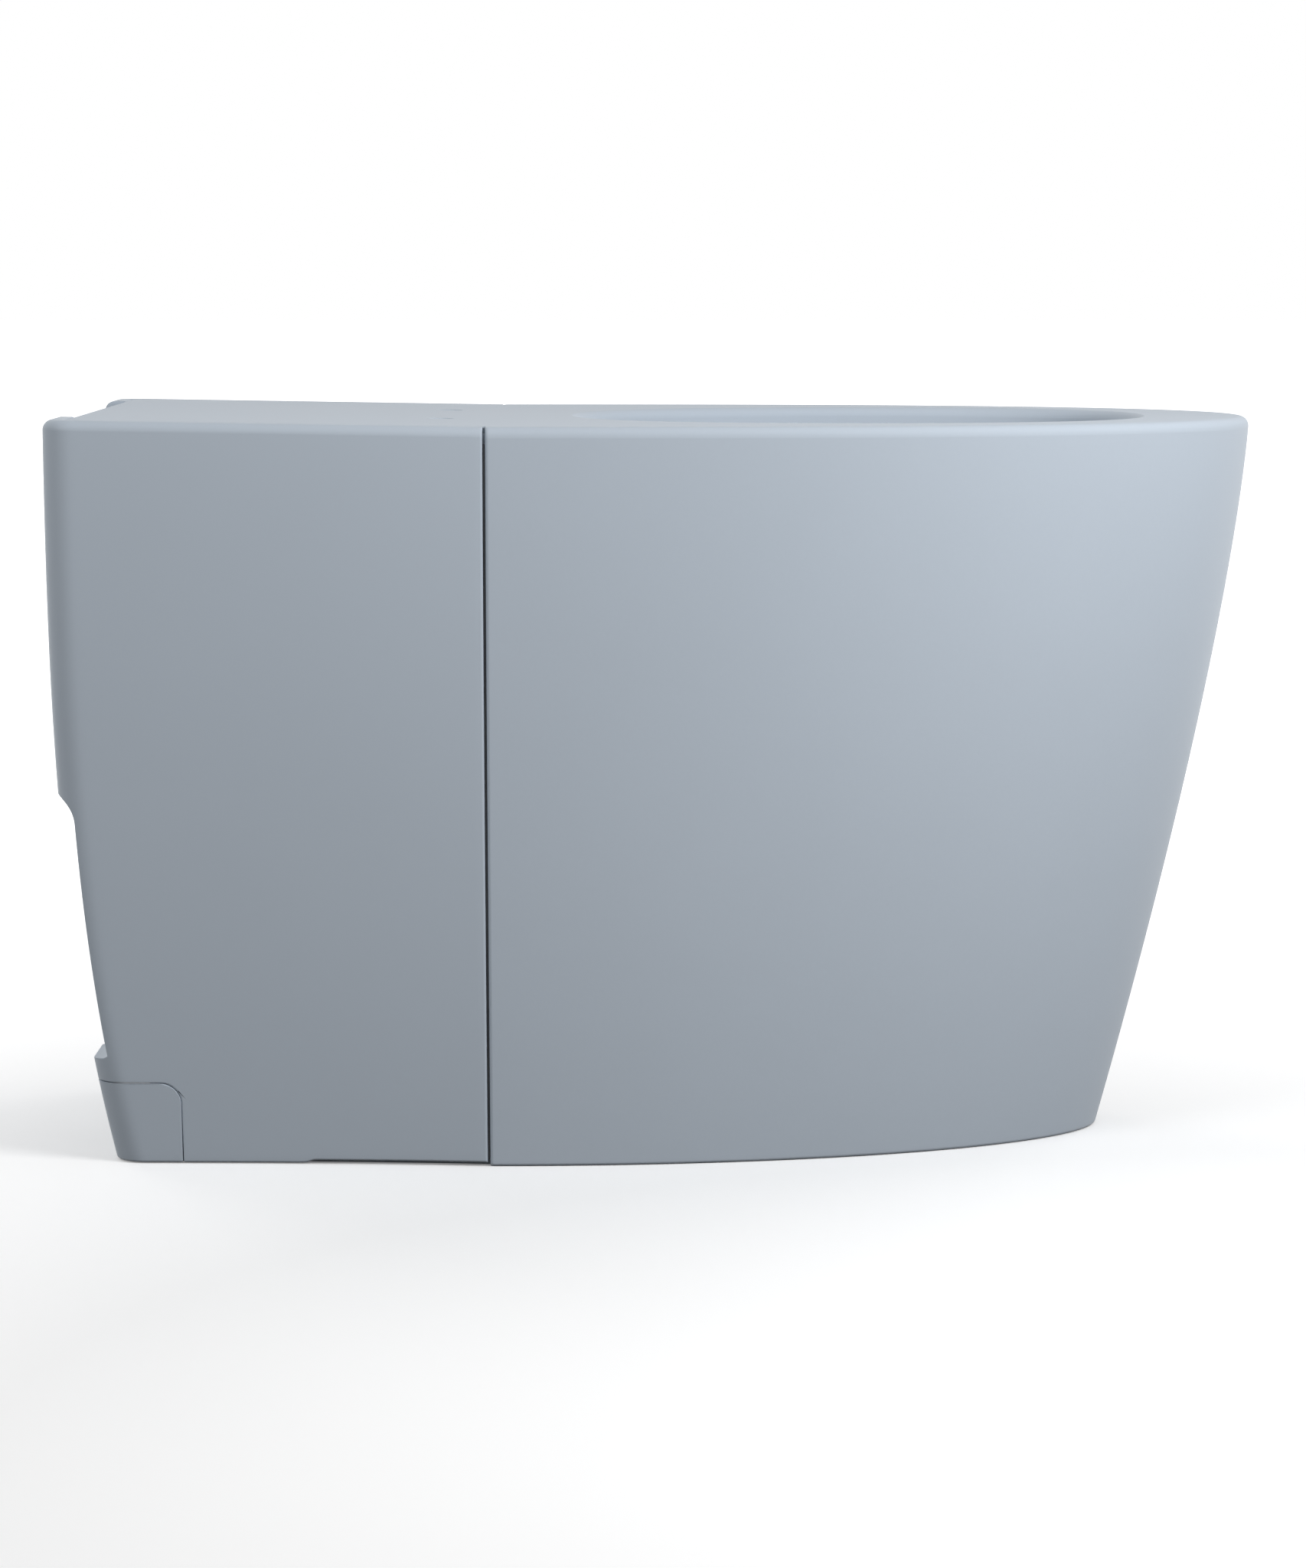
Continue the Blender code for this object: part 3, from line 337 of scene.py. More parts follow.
CHINA_BAND_ROWS = (34, 40, 26, 5, 26)
HOLLOW_ROWS = 40
FRONT_STEPS = 72
EDGE_STEPS = 6
SIDE_STEPS = 40
CORNER_STEPS = 14
ARC_STEPS = 6
BASIN_STEPS = 72
BASIN_ROWS = 44
BEND_STEPS = 14
MOUTH_STEPS = 14
SEAT_EDGE_STEPS = 4
PIPE_SIDES = 48
CRISP_ANGLE = radians(38)

NOSE_X = OVERALL_LENGTH / 2
REAR_X = -OVERALL_LENGTH / 2
SEAM_X = REAR_X + COVER_LENGTH
OPENING_FRONT_X = NOSE_X - FRONT_RIM_WIDTH
OPENING_REAR_X = SEAM_X + OPENING_BEHIND
OUTLET_X = REAR_X + OUTLET_FROM_REAR
HEEL_X = OUTLET_X + HEEL_FROM_OUTLET
SUMP_X = HEEL_X + SUMP_FROM_HEEL
FLUSH_HEIGHT = RIM_HEIGHT - INLET_BELOW_RIM


def mix(low, high, share):
    return low + (high - low) * share


def down_share(z):
    """0 at the rim and above it, 1 at the floor and below it."""
    return min(max(1 - z / RIM_HEIGHT, 0), 1)


def nose_x(z):
    return NOSE_X - NOSE_SETBACK * down_share(z) ** NOSE_EXPONENT


def rear_x(z):
    return REAR_X + REAR_SETBACK * down_share(z) ** REAR_EXPONENT


def side_y(x, z):
    """Half width of the outside. Behind the seam the foot also draws in a little."""
    behind_share = min(max(SEAM_X - x, 0) / COVER_LENGTH, 1)
    taper = REAR_TAPER * (1 - (1 - behind_share) ** TAPER_EXPONENT) * down_share(z)
    return OVERALL_WIDTH / 2 - SIDE_SETBACK * down_share(z) ** SIDE_EXPONENT - taper


def deck_rise(x):
    """The deck climbs in a straight line from the seam to the rear."""
    return DECK_RISE * min(max(SEAM_X - x, 0) / COVER_LENGTH, 1)


def level(z):
    return lambda x: z


def with_deck(z):
    """Level near the floor. From the deck's underside up it climbs with the deck."""
    share = min(max((z - FOOT_THICKNESS) / (RIM_HEIGHT - 2 * RIM_DEPTH - FOOT_THICKNESS), 0), 1)
    return lambda x: z + deck_rise(x) * share


def quarter(steps):
    """Angles from 0 to a right angle."""
    return [pi / 2 * step / steps for step in range(steps + 1)]


def at_height(points, z):
    return [Vector((x, y, z)) for x, y in points]


def front_half(z, inset, seam_x):
    """Half plan of the skirt at one height, from the nose to its rounded edge at the seam."""
    half = side_y(SEAM_X, z) - inset
    flat_x = seam_x + SEAM_EDGE_RADIUS
    reach = nose_x(z) - inset - flat_x
    length_exponent = mix(RIM_LENGTH_EXPONENT, FOOT_LENGTH_EXPONENT, down_share(z))
    width_exponent = mix(RIM_WIDTH_EXPONENT, FOOT_WIDTH_EXPONENT, down_share(z))
    points = [(flat_x + reach, 0)]
    for step in range(1, FRONT_STEPS + 1):
        angle = pi / 2 * (1 - step / FRONT_STEPS)
        x = flat_x + reach * max(sin(angle), 0) ** (2 / length_exponent)
        points.append((x, half * cos(angle) ** (2 / width_exponent)))
    for angle in quarter(EDGE_STEPS)[1:]:
        x = flat_x - SEAM_EDGE_RADIUS * sin(angle)
        points.append((x, half - SEAM_EDGE_RADIUS * (1 - cos(angle))))
    return at_height(points, z)


def rear_half(height_at, inset, start_x, setback=0, side_steps=SIDE_STEPS):
    """Half plan behind the seam, along the side and round the rear corner.

    A setback cuts the corner short, with a small edge radius of its own.
    """
    rear = rear_x(height_at(REAR_X)) + inset
    radius = max(REAR_CORNER_RADIUS - inset, INNER_CORNER_RADIUS)
    cut_radius = max(CUT_EDGE_RADIUS - inset, INNER_CUT_RADIUS)
    corner_x = rear + radius
    points = []
    for step in range(side_steps + 1):
        x = mix(start_x, corner_x, step / side_steps)
        points.append((x, side_y(x, height_at(x)) - inset))
    corner_y = points[-1][1] - radius
    cut_sine = 1 - setback / (radius - cut_radius)
    cut_angle = asin(cut_sine)
    cut_x = corner_x - (radius - cut_radius) * cut_sine
    cut_y = corner_y + (radius - cut_radius) * cos(cut_angle)
    for angle in quarter(CORNER_STEPS)[1:]:
        x, y, bend = (corner_x, corner_y, radius) if angle <= cut_angle else (cut_x, cut_y, cut_radius)
        points.append((x - bend * sin(angle), y + bend * cos(angle)))
    return [Vector((x, y, height_at(x))) for x, y in points]


def mirrored(points):
    return [Vector((p.x, -p.y, p.z)) for p in points]


def whole_loop(half):
    """Closes a half plan with its mirror image. Points on the middle plane are used once."""
    return half + [p for p in reversed(mirrored(half)) if p.y != 0]


def rounded_path(corners, count=0):
    """Points along (inset, height, radius) corners with arcs in them, count in all where it is given."""
    arcs = []
    for i, (inset, height, radius) in enumerate(corners):
        here = Vector((inset, height))
        if radius == 0:
            arcs.append([here])
            continue
        before = (Vector(corners[i - 1][:2]) - here).normalized()
        after = (Vector(corners[(i + 1) % len(corners)][:2]) - here).normalized()
        half = before.angle(after) / 2
        centre = here + (before + after).normalized() * radius / sin(half)
        start = here + before * radius / tan(half) - centre
        end = here + after * radius / tan(half) - centre
        turn = start.angle_signed(end)
        turns = [Matrix.Rotation(-turn * step / ARC_STEPS, 2) for step in range(ARC_STEPS + 1)]
        arcs.append([centre + rotation @ start for rotation in turns])
    lengths = [(second[0] - first[-1]).length for first, second in zip(arcs, arcs[1:])]
    spare = max(count - sum(len(arc) for arc in arcs), 0)
    shares = [spare * sum(lengths[:i]) / sum(lengths) for i in range(len(lengths) + 1)]
    points = list(arcs[0])
    for i, arc in enumerate(arcs[1:]):
        between = round(shares[i + 1]) - round(shares[i])
        for step in range(1, between + 1):
            points.append(points[-1].lerp(arc[0], 1 / (between + 2 - step)))
        points += arc
    return points


def skin(bm, loops, closed=False):
    """Faces between loops of equal length. Returns the rings of vertices."""
    rings = [[bm.verts.new(point) for point in loop] for loop in loops]
    pairs = list(zip(rings, rings[1:]))
    if closed:
        pairs.append((rings[-1], rings[0]))
    for low, high in pairs:
        for i in range(len(low)):
            j = (i + 1) % len(low)
            bm.faces.new((low[i], low[j], high[j], high[i]))
    return rings


def lofted(loops):
    """A closed body through the loops, with a flat face on each end."""
    bm = bmesh.new()
    rings = skin(bm, loops)
    bm.faces.new(rings[0])
    bm.faces.new(rings[-1])
    return bm


def full_turn(count):
    return [2 * pi * i / count for i in range(count)]


def circle(radius, height, sides=PIPE_SIDES):
    return [Vector((radius * cos(angle), radius * sin(angle), height)) for angle in full_turn(sides)]


def rod(profile, sides=PIPE_SIDES):
    """A solid round body about Z from (radius, height) points."""
    return lofted([circle(radius, height, sides) for radius, height in profile])


def cylinder(radius, low, high):
    return rod([(radius, low), (radius, high)])


def along_y(x, y, z, side):
    """Turns a body made about Z so that it points outwards on one side of the bowl."""
    turn = Matrix.Rotation(-side * pi / 2, 4, "X")
    return Matrix.Translation((x, side * y, z)) @ turn


def moved(bm, place):
    bmesh.ops.transform(bm, matrix=place, verts=bm.verts)
    return bm


def joined(bodies):
    """Several bodies that don't touch, as one mesh."""
    bm = bmesh.new()
    for body in bodies:
        mesh = bpy.data.meshes.new("joined")
        body.to_mesh(mesh)
        body.free()
        bm.from_mesh(mesh)
        bpy.data.meshes.remove(mesh)
    return bm


def to_object(name, bm, material=None):
    bmesh.ops.recalc_face_normals(bm, faces=bm.faces)
    mesh = bpy.data.meshes.new(name)
    bm.to_mesh(mesh)
    bm.free()
    if material:
        mesh.materials.append(material)
    return placed(name, mesh)


def cut_and_joined(obj, material, steps):
    """Runs (operation, name, mesh) steps on an object. A step may name another material after these."""
    tools = []
    for operation, name, bm, *other in steps:
        tool = to_object(name, bm, other[0] if other else material)
        modifier = obj.modifiers.new(name, "BOOLEAN")
        modifier.operation = operation
        modifier.solver = "MANIFOLD"
        modifier.material_mode = "TRANSFER"
        modifier.object = tool
        tools.append(tool)
    plain(obj)
    for tool in tools:
        bpy.data.meshes.remove(tool.data)
    return obj


def plain(obj):
    """Turns an object's evaluated modifiers into its mesh."""
    graph = bpy.context.evaluated_depsgraph_get()
    seen = obj.evaluated_get(graph)
    mesh = bpy.data.meshes.new_from_object(seen, preserve_all_data_layers=True, depsgraph=graph)
    obj.modifiers.clear()
    obj.data = mesh
    return obj


def settled(obj, body, slot, *nodes):
    """A finished piece on its body, in the place of the frame's nodes.

    Its shading is smooth with crisp edges, and large flat faces keep their own direction.
    """
    obj.data.shade_smooth()
    obj.data.set_sharp_from_angle(angle=CRISP_ANGLE)
    modifier = obj.modifiers.new("flat faces first", "WEIGHTED_NORMAL")
    modifier.keep_sharp = True
    plain(obj)
    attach(obj, body)
    if nodes:
        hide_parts(*nodes)


def china_bands():
    """Bands of rows from the floor up: the skirt's corners, the rear's corners and how many rows."""
    underside = RIM_HEIGHT - RIM_DEPTH
    seat = RIM_HEIGHT - LEDGE_SEAT
    wall_top = (0, SKIRT_WALL_TOP, 0)
    ledge_low = (0, SKIRT_LEDGE_LOW, 0)
    skirt_low = [(2 * FOOT_EDGE_RADIUS, 0, 0), (0, 0, FOOT_EDGE_RADIUS), (0, SKIRT_FOOT_TOP, 0)]
    skirt_top = [
        (0, RIM_HEIGHT - 2 * TOP_FILLET, 0),
        (0, RIM_HEIGHT, TOP_FILLET),
        (2 * TOP_FILLET, RIM_HEIGHT, 0),
    ]
    foot = [
        (FOOT_INSET + 2 * FOOT_EDGE_RADIUS, 0, 0),
        (FOOT_INSET, 0, FOOT_EDGE_RADIUS),
        (FOOT_INSET, FOOT_THICKNESS, FOOT_TOP_RADIUS),
        (WALL_INSET, FOOT_THICKNESS, WALL_FILLET),
        (WALL_INSET, FOOT_THICKNESS + 2 * WALL_FILLET, 0),
    ]
    overhang = [
        (WALL_INSET, underside - 2 * WALL_FILLET, 0),
        (WALL_INSET, underside, WALL_FILLET),
        (LEDGE_INSET, underside, LEDGE_RADIUS / 2),
        (LEDGE_INSET, underside + LEDGE_RADIUS, 0),
    ]
    field = [
        (LEDGE_INSET, seat - 2 * LEDGE_RADIUS, 0),
        (LEDGE_INSET, seat, LEDGE_RADIUS),
        (FIELD_INSET, seat, 0),
        (FIELD_INSET, RIM_HEIGHT, FIELD_EDGE_RADIUS),
        (FIELD_INSET + 2 * FIELD_EDGE_RADIUS, RIM_HEIGHT, 0),
    ]
    skirt_wall = ([skirt_low[-1], wall_top], [wall_top, ledge_low], [ledge_low, skirt_top[0]])
    skirts = (skirt_low, *skirt_wall, skirt_top)
    rears = (foot, [foot[-1], overhang[0]], overhang, [overhang[-1], field[0]], field)
    return zip(skirts, rears, CHINA_BAND_ROWS)


def china_outside():
    """The skirt, the inset rear walls on their foot, and the deck with its ledge for the covers."""
    loops = []
    for skirt, rear, count in china_bands():
        pairs = list(zip(rounded_path(skirt, count), rounded_path(rear, count)))
        for front_point, rear_point in pairs[1:] if loops else pairs:
            front = front_half(front_point.y, front_point.x, SEAM_X)
            behind = rear_half(with_deck(rear_point.y), rear_point.x, SEAM_X - RETURN_DRAFT)
            loops.append(whole_loop(front + behind))
    bm = bmesh.new()
    rings = skin(bm, loops)
    bm.faces.new(rings[0])
    first_behind = len(front)
    last_behind = len(rings[0]) - first_behind + 1
    bm.faces.new(rings[-1][first_behind:last_behind])
    bm.faces.new(rings[-1][: first_behind + 1] + rings[-1][last_behind - 1 :])
    return bm


def china_hollow():
    """The space inside the skirt and the rear walls, open at the floor."""
    top = RIM_HEIGHT - RIM_DEPTH
    corners = [(0, -CUT_OVERRUN, 0), (0, top, HOLLOW_FILLET), (2 * HOLLOW_FILLET, top, 0)]
    seam_x = SEAM_X + CHINA_WALL
    loops = []
    for inset, z in rounded_path(corners, HOLLOW_ROWS):
        front = front_half(z, CHINA_WALL + inset, seam_x + inset)
        behind = rear_half(level(z), WALL_INSET + CHINA_WALL + inset, seam_x + inset)
        loops.append(whole_loop(front + behind))
    return lofted(loops)


def basin_loop(spread, share, z, outset):
    """Plan of the basin: spread is 1 at the opening and 0 on the sump's floor, share is the depth's.

    The rear wall comes forward sooner than the others, above the trapway's rising leg.
    """
    rear_spread = (1 + cos(pi * share**BASIN_REAR_EXPONENT)) / 2
    front = mix(SUMP_X + SUMP_LENGTH / 2, OPENING_FRONT_X, spread) + outset
    rear = mix(SUMP_X - SUMP_LENGTH / 2, OPENING_REAR_X, rear_spread) - outset
    half = mix(SUMP_WIDTH / 2, OVERALL_WIDTH / 2 - SIDE_RIM_WIDTH, spread) + outset
    points = []
    for step in range(BASIN_STEPS + 1):
        angle = pi * step / BASIN_STEPS
        reach = abs(cos(angle)) ** (2 / BASIN_PLAN_EXPONENT)
        x = (front + rear) / 2 + copysign(reach, cos(angle)) * (front - rear) / 2
        y = half * max(sin(angle), 0) ** (2 / BASIN_PLAN_EXPONENT)
        points.append((x, 0 if step in (0, BASIN_STEPS) else y))
    return whole_loop(at_height(points, z))


def basin_profile(rows):
    """(spread, depth share) pairs from below the rim down to the sump."""
    pairs = []
    for angle in quarter(rows)[1:]:
        spread = max(cos(angle), 0) ** (2 / BASIN_SPREAD_EXPONENT)
        pairs.append((spread, sin(angle) ** (2 / BASIN_DEPTH_EXPONENT)))
    return pairs


def basin_inside():
    loops = [basin_loop(1, 0, RIM_HEIGHT + CUT_OVERRUN, OPENING_EDGE_RADIUS)]
    for angle in quarter(ARC_STEPS):
        z = RIM_HEIGHT + JOIN_GAP - OPENING_EDGE_RADIUS * (1 - cos(angle))
        loops.append(basin_loop(1, 0, z, OPENING_EDGE_RADIUS * (1 - sin(angle))))
    for spread, share in basin_profile(BASIN_ROWS):
        loops.append(basin_loop(spread, share, mix(RIM_HEIGHT, SUMP_FLOOR, share), 0))
    return lofted(loops)


def basin_outside():
    loops = [basin_loop(1, 0, RIM_HEIGHT - RIM_DEPTH / 2, CHINA_WALL)]
    for spread, share in basin_profile(BASIN_ROWS // 2):
        loops.append(basin_loop(spread, share, mix(RIM_HEIGHT, SUMP_FLOOR - CHINA_WALL, share), CHINA_WALL))
    return lofted(loops)


def trap_line(start_x, end_z):
    """Middle line of the trapway: out of the sump, up to the crest and down to the outlet."""
    turn = pi / 2 + TRAP_RISE_ANGLE
    meet_z = TRAP_DIP_HEIGHT + (HEEL_X - OUTLET_X) * tan(TRAP_RISE_ANGLE)
    crest_z = meet_z - TRAP_BEND_RADIUS * tan(turn / 2)
    heel_x = HEEL_X + TRAP_BEND_RADIUS * tan(TRAP_RISE_ANGLE / 2)
    points = [(start_x, TRAP_DIP_HEIGHT)]
    for step in range(BEND_STEPS + 1):
        angle = TRAP_RISE_ANGLE * step / BEND_STEPS
        x = heel_x - TRAP_BEND_RADIUS * sin(angle)
        points.append((x, TRAP_DIP_HEIGHT + TRAP_BEND_RADIUS * (1 - cos(angle))))
    for step in range(2 * BEND_STEPS + 1):
        angle = pi / 2 - TRAP_RISE_ANGLE + turn * step / (2 * BEND_STEPS)
        x = OUTLET_X + TRAP_BEND_RADIUS * (1 + cos(angle))
        points.append((x, crest_z + TRAP_BEND_RADIUS * sin(angle)))
    points.append((OUTLET_X, end_z))
    return [Vector((x, 0, z)) for x, z in points]


def pipe(line, radius):
    """A round solid swept along a line in the middle plane."""
    loops = []
    for i, centre in enumerate(line):
        ahead = line[min(i + 1, len(line) - 1)] - line[max(i - 1, 0)]
        across = Vector((-ahead.z, 0, ahead.x)).normalized()
        rim = [across * cos(angle) + Vector((0, sin(angle), 0)) for angle in full_turn(PIPE_SIDES)]
        loops.append([centre + direction * radius for direction in rim])
    return lofted(loops)


def channel(outset, start_x, end_x):
    """The flush channel: round at the inlet, a wide low slot at the basin."""
    round_x = rear_x(FLUSH_HEIGHT) + WALL_INSET + CHANNEL_ROUND_LENGTH
    mouth_x = OPENING_REAR_X - MOUTH_FROM_OPENING
    shares = [step / MOUTH_STEPS for step in range(MOUTH_STEPS + 1)]
    stations = [(start_x, 0), *[(mix(round_x, mouth_x, share), share) for share in shares], (end_x, 1)]
    loops = []
    for x, share in stations:
        half_width = mix(INLET_BORE, CHANNEL_MOUTH_WIDTH, share) / 2 + outset
        half_height = mix(INLET_BORE, CHANNEL_MOUTH_HEIGHT, share) / 2 + outset
        loops.append([Vector((x, p.x * half_width, FLUSH_HEIGHT + p.y * half_height)) for p in circle(1, 0)])
    return lofted(loops)


def clip_places():
    """(x, z, y of the flat boss face) of each clip on one side."""
    places = []
    for back_share, height_share in zip(CLIP_BACK_SHARES, CLIP_HEIGHT_SHARES):
        x = SEAM_X - COVER_LENGTH * back_share
        z = RIM_HEIGHT * height_share
        places.append((x, z, side_y(x, z) - WALL_INSET + CLIP_BOSS_HEIGHT))
    return places


def bolt_place():
    x = SEAM_X - BOLT_FROM_SEAM
    return x, side_y(x, 0) - FOOT_INSET - BOLT_FROM_FOOT_EDGE


def peg_places():
    """(x, y of the foot's outer face) of the two pegs of a corner cover."""
    middle = FOOT_THICKNESS / 2
    first = REAR_X + PEG_FROM_REAR
    return [(x, side_y(x, middle) - FOOT_INSET) for x in (first, first - PEG_SPACING)]


def clip_bosses():
    """The round pads on the rear walls that the spring cups are screwed to."""
    half = CLIP_BOSS_DIAMETER / 2
    edge = CLIP_BOSS_EDGE
    low = -CLIP_BOSS_HEIGHT - CHINA_WALL / 2
    profile = [(half, low), (half, -edge), (half - edge / 3, -edge / 3), (half - edge, 0)]
    places = [along_y(x, y, z, side) for x, z, y in clip_places() for _, side in SIDES]
    return joined([moved(rod(profile), place) for place in places])


def china_holes():
    """Holes for the seat, the floor bolts, the clip screws and the corner covers' pegs."""
    seat = SEAT_HOLE_DIAMETER / 2
    edge = SEAT_HOLE_EDGE
    angles = reversed(quarter(SEAT_EDGE_STEPS))
    flare = [(seat + edge * (1 - sin(angle)), edge * (cos(angle) - 1)) for angle in angles]
    seat_profile = [(seat, -RIM_DEPTH - CUT_OVERRUN), *flare, (seat + edge, CUT_OVERRUN)]
    seat_x = NOSE_X - SEAT_HOLE_FROM_NOSE
    seat_z = RIM_HEIGHT + deck_rise(seat_x) + JOIN_GAP
    bolt_x, bolt_y = bolt_place()
    bodies = []
    for _, side in SIDES:
        place = Matrix.Translation((seat_x, side * SEAT_HOLE_SPACING / 2, seat_z))
        bodies.append(moved(rod(seat_profile), place))
        hole = cylinder(BOLT_HOLE_DIAMETER / 2, -CUT_OVERRUN, FOOT_THICKNESS + CUT_OVERRUN)
        bodies.append(moved(hole, Matrix.Translation((bolt_x, side * bolt_y, 0))))
        for x, z, y in clip_places():
            hole = cylinder(CLIP_HOLE_DIAMETER / 2, -CLIP_HOLE_DEPTH, CUT_OVERRUN)
            bodies.append(moved(hole, along_y(x, y, z, side)))
        for x, y in peg_places():
            hole = cylinder(PEG_HOLE_DIAMETER / 2, -PEG_HOLE_DEPTH, CUT_OVERRUN)
            bodies.append(moved(hole, along_y(x, y, FOOT_THICKNESS / 2, side)))
    return joined(bodies)


class Finish(NodeTree):
    """A material whose patterns follow the piece's own coordinates."""

    def __init__(self, name):
        self.material = bpy.data.materials.new(name)
        self.material.use_nodes = True
        super().__init__(self.material.node_tree)
        self.place = self.node("ShaderNodeTexCoord", output="Object")

    def noise(self, scale, detail, roughness=0.5):
        inputs = {"Vector": self.place, "Scale": scale, "Detail": detail, "Roughness": roughness}
        return self.node("ShaderNodeTexNoise", inputs)

    def cells(self, scale):
        return self.node("ShaderNodeTexVoronoi", {"Vector": self.place, "Scale": scale})

    def toned(self, colour, tone):
        return self.node("ShaderNodeVectorMath", {0: colour, "Scale": tone}, operation="SCALE")

    def made(self, colour, roughness, height, strength=1.0, distance=1.0, fixed=None):
        """Feeds the shader, with a bump of this height and with fixed values by their sockets' names."""
        bump = self.node("ShaderNodeBump", {"Strength": strength, "Distance": distance, "Height": height})
        shader = self.material.node_tree.nodes["Principled BSDF"]
        values = {"Base Color": colour, "Roughness": roughness, "Normal": bump, **(fixed or {})}
        for socket, value in values.items():
            self.feed(shader.inputs[socket], value)
        return self.material


def glazed(name, colour, roughness, waviness):
    """A fired glaze: faint cloudiness in its colour and gloss, and a very slow waviness."""
    finish = Finish(name)
    cloud = finish.noise(scale=9.0, detail=3.0, roughness=0.55)
    mottle = finish.noise(scale=420.0, detail=2.0)
    wave = finish.noise(scale=26.0, detail=1.0)
    peel = finish.noise(scale=330.0, detail=1.0)
    return finish.made(
        colour=finish.toned(colour, 0.97 + cloud * 0.04 + mottle * 0.02),
        roughness=roughness + (cloud - 0.5) * 0.06 + (mottle - 0.5) * 0.03,
        height=wave * waviness + peel * (waviness * PEEL_PER_WAVE),
        fixed={"Specular IOR Level": GLAZE_GLOSS},
    )


def bare_china(name, colour):
    """Unglazed china: matt, a little grainy, with pinholes from the mould, painted darker as shade in them.
    """
    finish = Finish(name)
    grain = finish.noise(scale=900.0, detail=3.0)
    cloud = finish.noise(scale=14.0, detail=3.0)
    shaded_pinhole = finish.cells(scale=260.0).below(0.12)
    return finish.made(
        # The pinholes' darkening is painted shade inside them.
        colour=finish.toned(colour, 0.90 + cloud * 0.12 + grain * 0.05 - shaded_pinhole * 0.12),
        roughness=0.75 + grain * 0.15,
        height=grain - shaded_pinhole,
        strength=0.5,
        distance=0.0003,
    )


glaze = glazed("china_glaze", GLAZE_COLOUR, GLAZE_ROUGHNESS, GLAZE_WAVINESS)
biscuit = bare_china("bare_china", BISCUIT_COLOUR)
china = to_object("china_body", china_outside(), glaze)
trap_radius = TRAP_BORE / 2
trap_outside = pipe(trap_line(SUMP_X, HORN_END_HEIGHT), trap_radius + CHINA_WALL)
trap_inside = pipe(trap_line(SUMP_X, HORN_END_HEIGHT - CUT_OVERRUN), trap_radius)
face_x = rear_x(FLUSH_HEIGHT) + WALL_INSET - INLET_BOSS_LENGTH
channel_end = OPENING_REAR_X + MOUTH_FROM_OPENING
cut_and_joined(
    china,
    glaze,
    [
        ("DIFFERENCE", "hollow", china_hollow(), biscuit),
        ("UNION", "basin_outside", basin_outside(), biscuit),
        ("UNION", "trap_outside", trap_outside, biscuit),
        ("UNION", "channel_outside", channel(CHINA_WALL, face_x, OPENING_REAR_X), biscuit),
        ("UNION", "bosses", clip_bosses()),
        ("DIFFERENCE", "basin_inside", basin_inside()),
        ("DIFFERENCE", "trap_inside", trap_inside),
        ("DIFFERENCE", "channel_inside", channel(0, face_x - CUT_OVERRUN, channel_end)),
        ("DIFFERENCE", "holes", china_holes()),
    ],
)
for polygon in china.data.polygons:
    if polygon.center.z < JOIN_GAP and polygon.normal.z < 0:
        polygon.material_index = 1
settled(china, "bowl", "china", "bowl_casting")

# Inlet. A moulded rubber sleeve sits in the china's round socket, and a rigid white plastic stub is pushed
# into it. The supply pipe goes on the stub's rear end, over its rubber ring.

INLET_SEAL_WALL = 0.005
INLET_SEAL_LENGTH = 0.024
INLET_SEAL_LIP = 0.003
SEAL_EDGE = 0.0009
FIT_GAP = 0.0003
CONNECTOR_WALL = 0.003
CONNECTOR_REAR_INSET = 0.004
CONNECTOR_FLANGE_RISE = 0.004
CONNECTOR_FLANGE_LENGTH = 0.004
CONNECTOR_EDGE = 0.0006
GROOVE_FROM_END = 0.0075
GROOVE_LENGTH = 0.0026
GROOVE_DEPTH = 0.0013
RING_RADIUS = 0.0011
RING_POINTS = 16
RUBBER_COLOUR = (0.028, 0.028, 0.030)
BLOOM_LIFT = 0.03
WHITE_COLOUR = (0.78, 0.78, 0.76)
WHITE_ROUGHNESS = 0.42
WHITE_GRAIN = 0.000012
USUAL_GLOSS = 0.5
WAVE_PER_GRAIN = 4


def turned(profile, sides=PIPE_SIDES):
    """A ring turned about Z from a closed profile of (radius, height) points."""
    bm = bmesh.new()
    skin(bm, [circle(radius, height, sides) for radius, height in profile], closed=True)
    return bm


def band(inner, outer, low, high, edge):
    """A ring with a rectangular section and rounded edges."""
    corners = [(outer, low), (outer, high), (inner, high), (inner, low)]
    return turned(rounded_path([(radius, height, edge) for radius, height in corners]))


def along_x(x):
    """Turns a body made about Z so that it points towards the rear, from x on."""
    return Matrix.Translation((x, 0, FLUSH_HEIGHT)) @ Matrix.Rotation(-pi / 2, 4, "Y")


def moulded(name, colour, roughness, gloss, grain_height):
    """Moulded plastic: an even colour with fine orange peel in its gloss."""
    finish = Finish(name)
    cloud = finish.noise(scale=11.0, detail=2.0)
    peel = finish.noise(scale=700.0, detail=2.0)
    wave = finish.noise(scale=30.0, detail=1.0)
    return finish.made(
        colour=finish.toned(colour, 0.985 + cloud * 0.02 + peel * 0.01),
        roughness=roughness + (cloud - 0.5) * 0.05 + (peel - 0.5) * 0.03,
        height=peel * grain_height + wave * (grain_height * WAVE_PER_GRAIN),
        fixed={"Specular IOR Level": gloss},
    )


def moulded_rubber(name, colour):
    """Matt rubber with a faint grey bloom."""
    finish = Finish(name)
    bloom = finish.noise(scale=60.0, detail=4.0)
    pale = [part + BLOOM_LIFT for part in colour]
    return finish.made(
        colour=finish.mixed(bloom**2.0, (*colour, 1), (*pale, 1)),
        roughness=0.62 + bloom * 0.2,
        height=finish.noise(scale=1500.0, detail=2.0),
        strength=0.6,
        distance=0.0001,
    )


def fitted(name, bm, material, body, slot, *nodes):
    settled(to_object(name, bm, material), body, slot, *nodes)


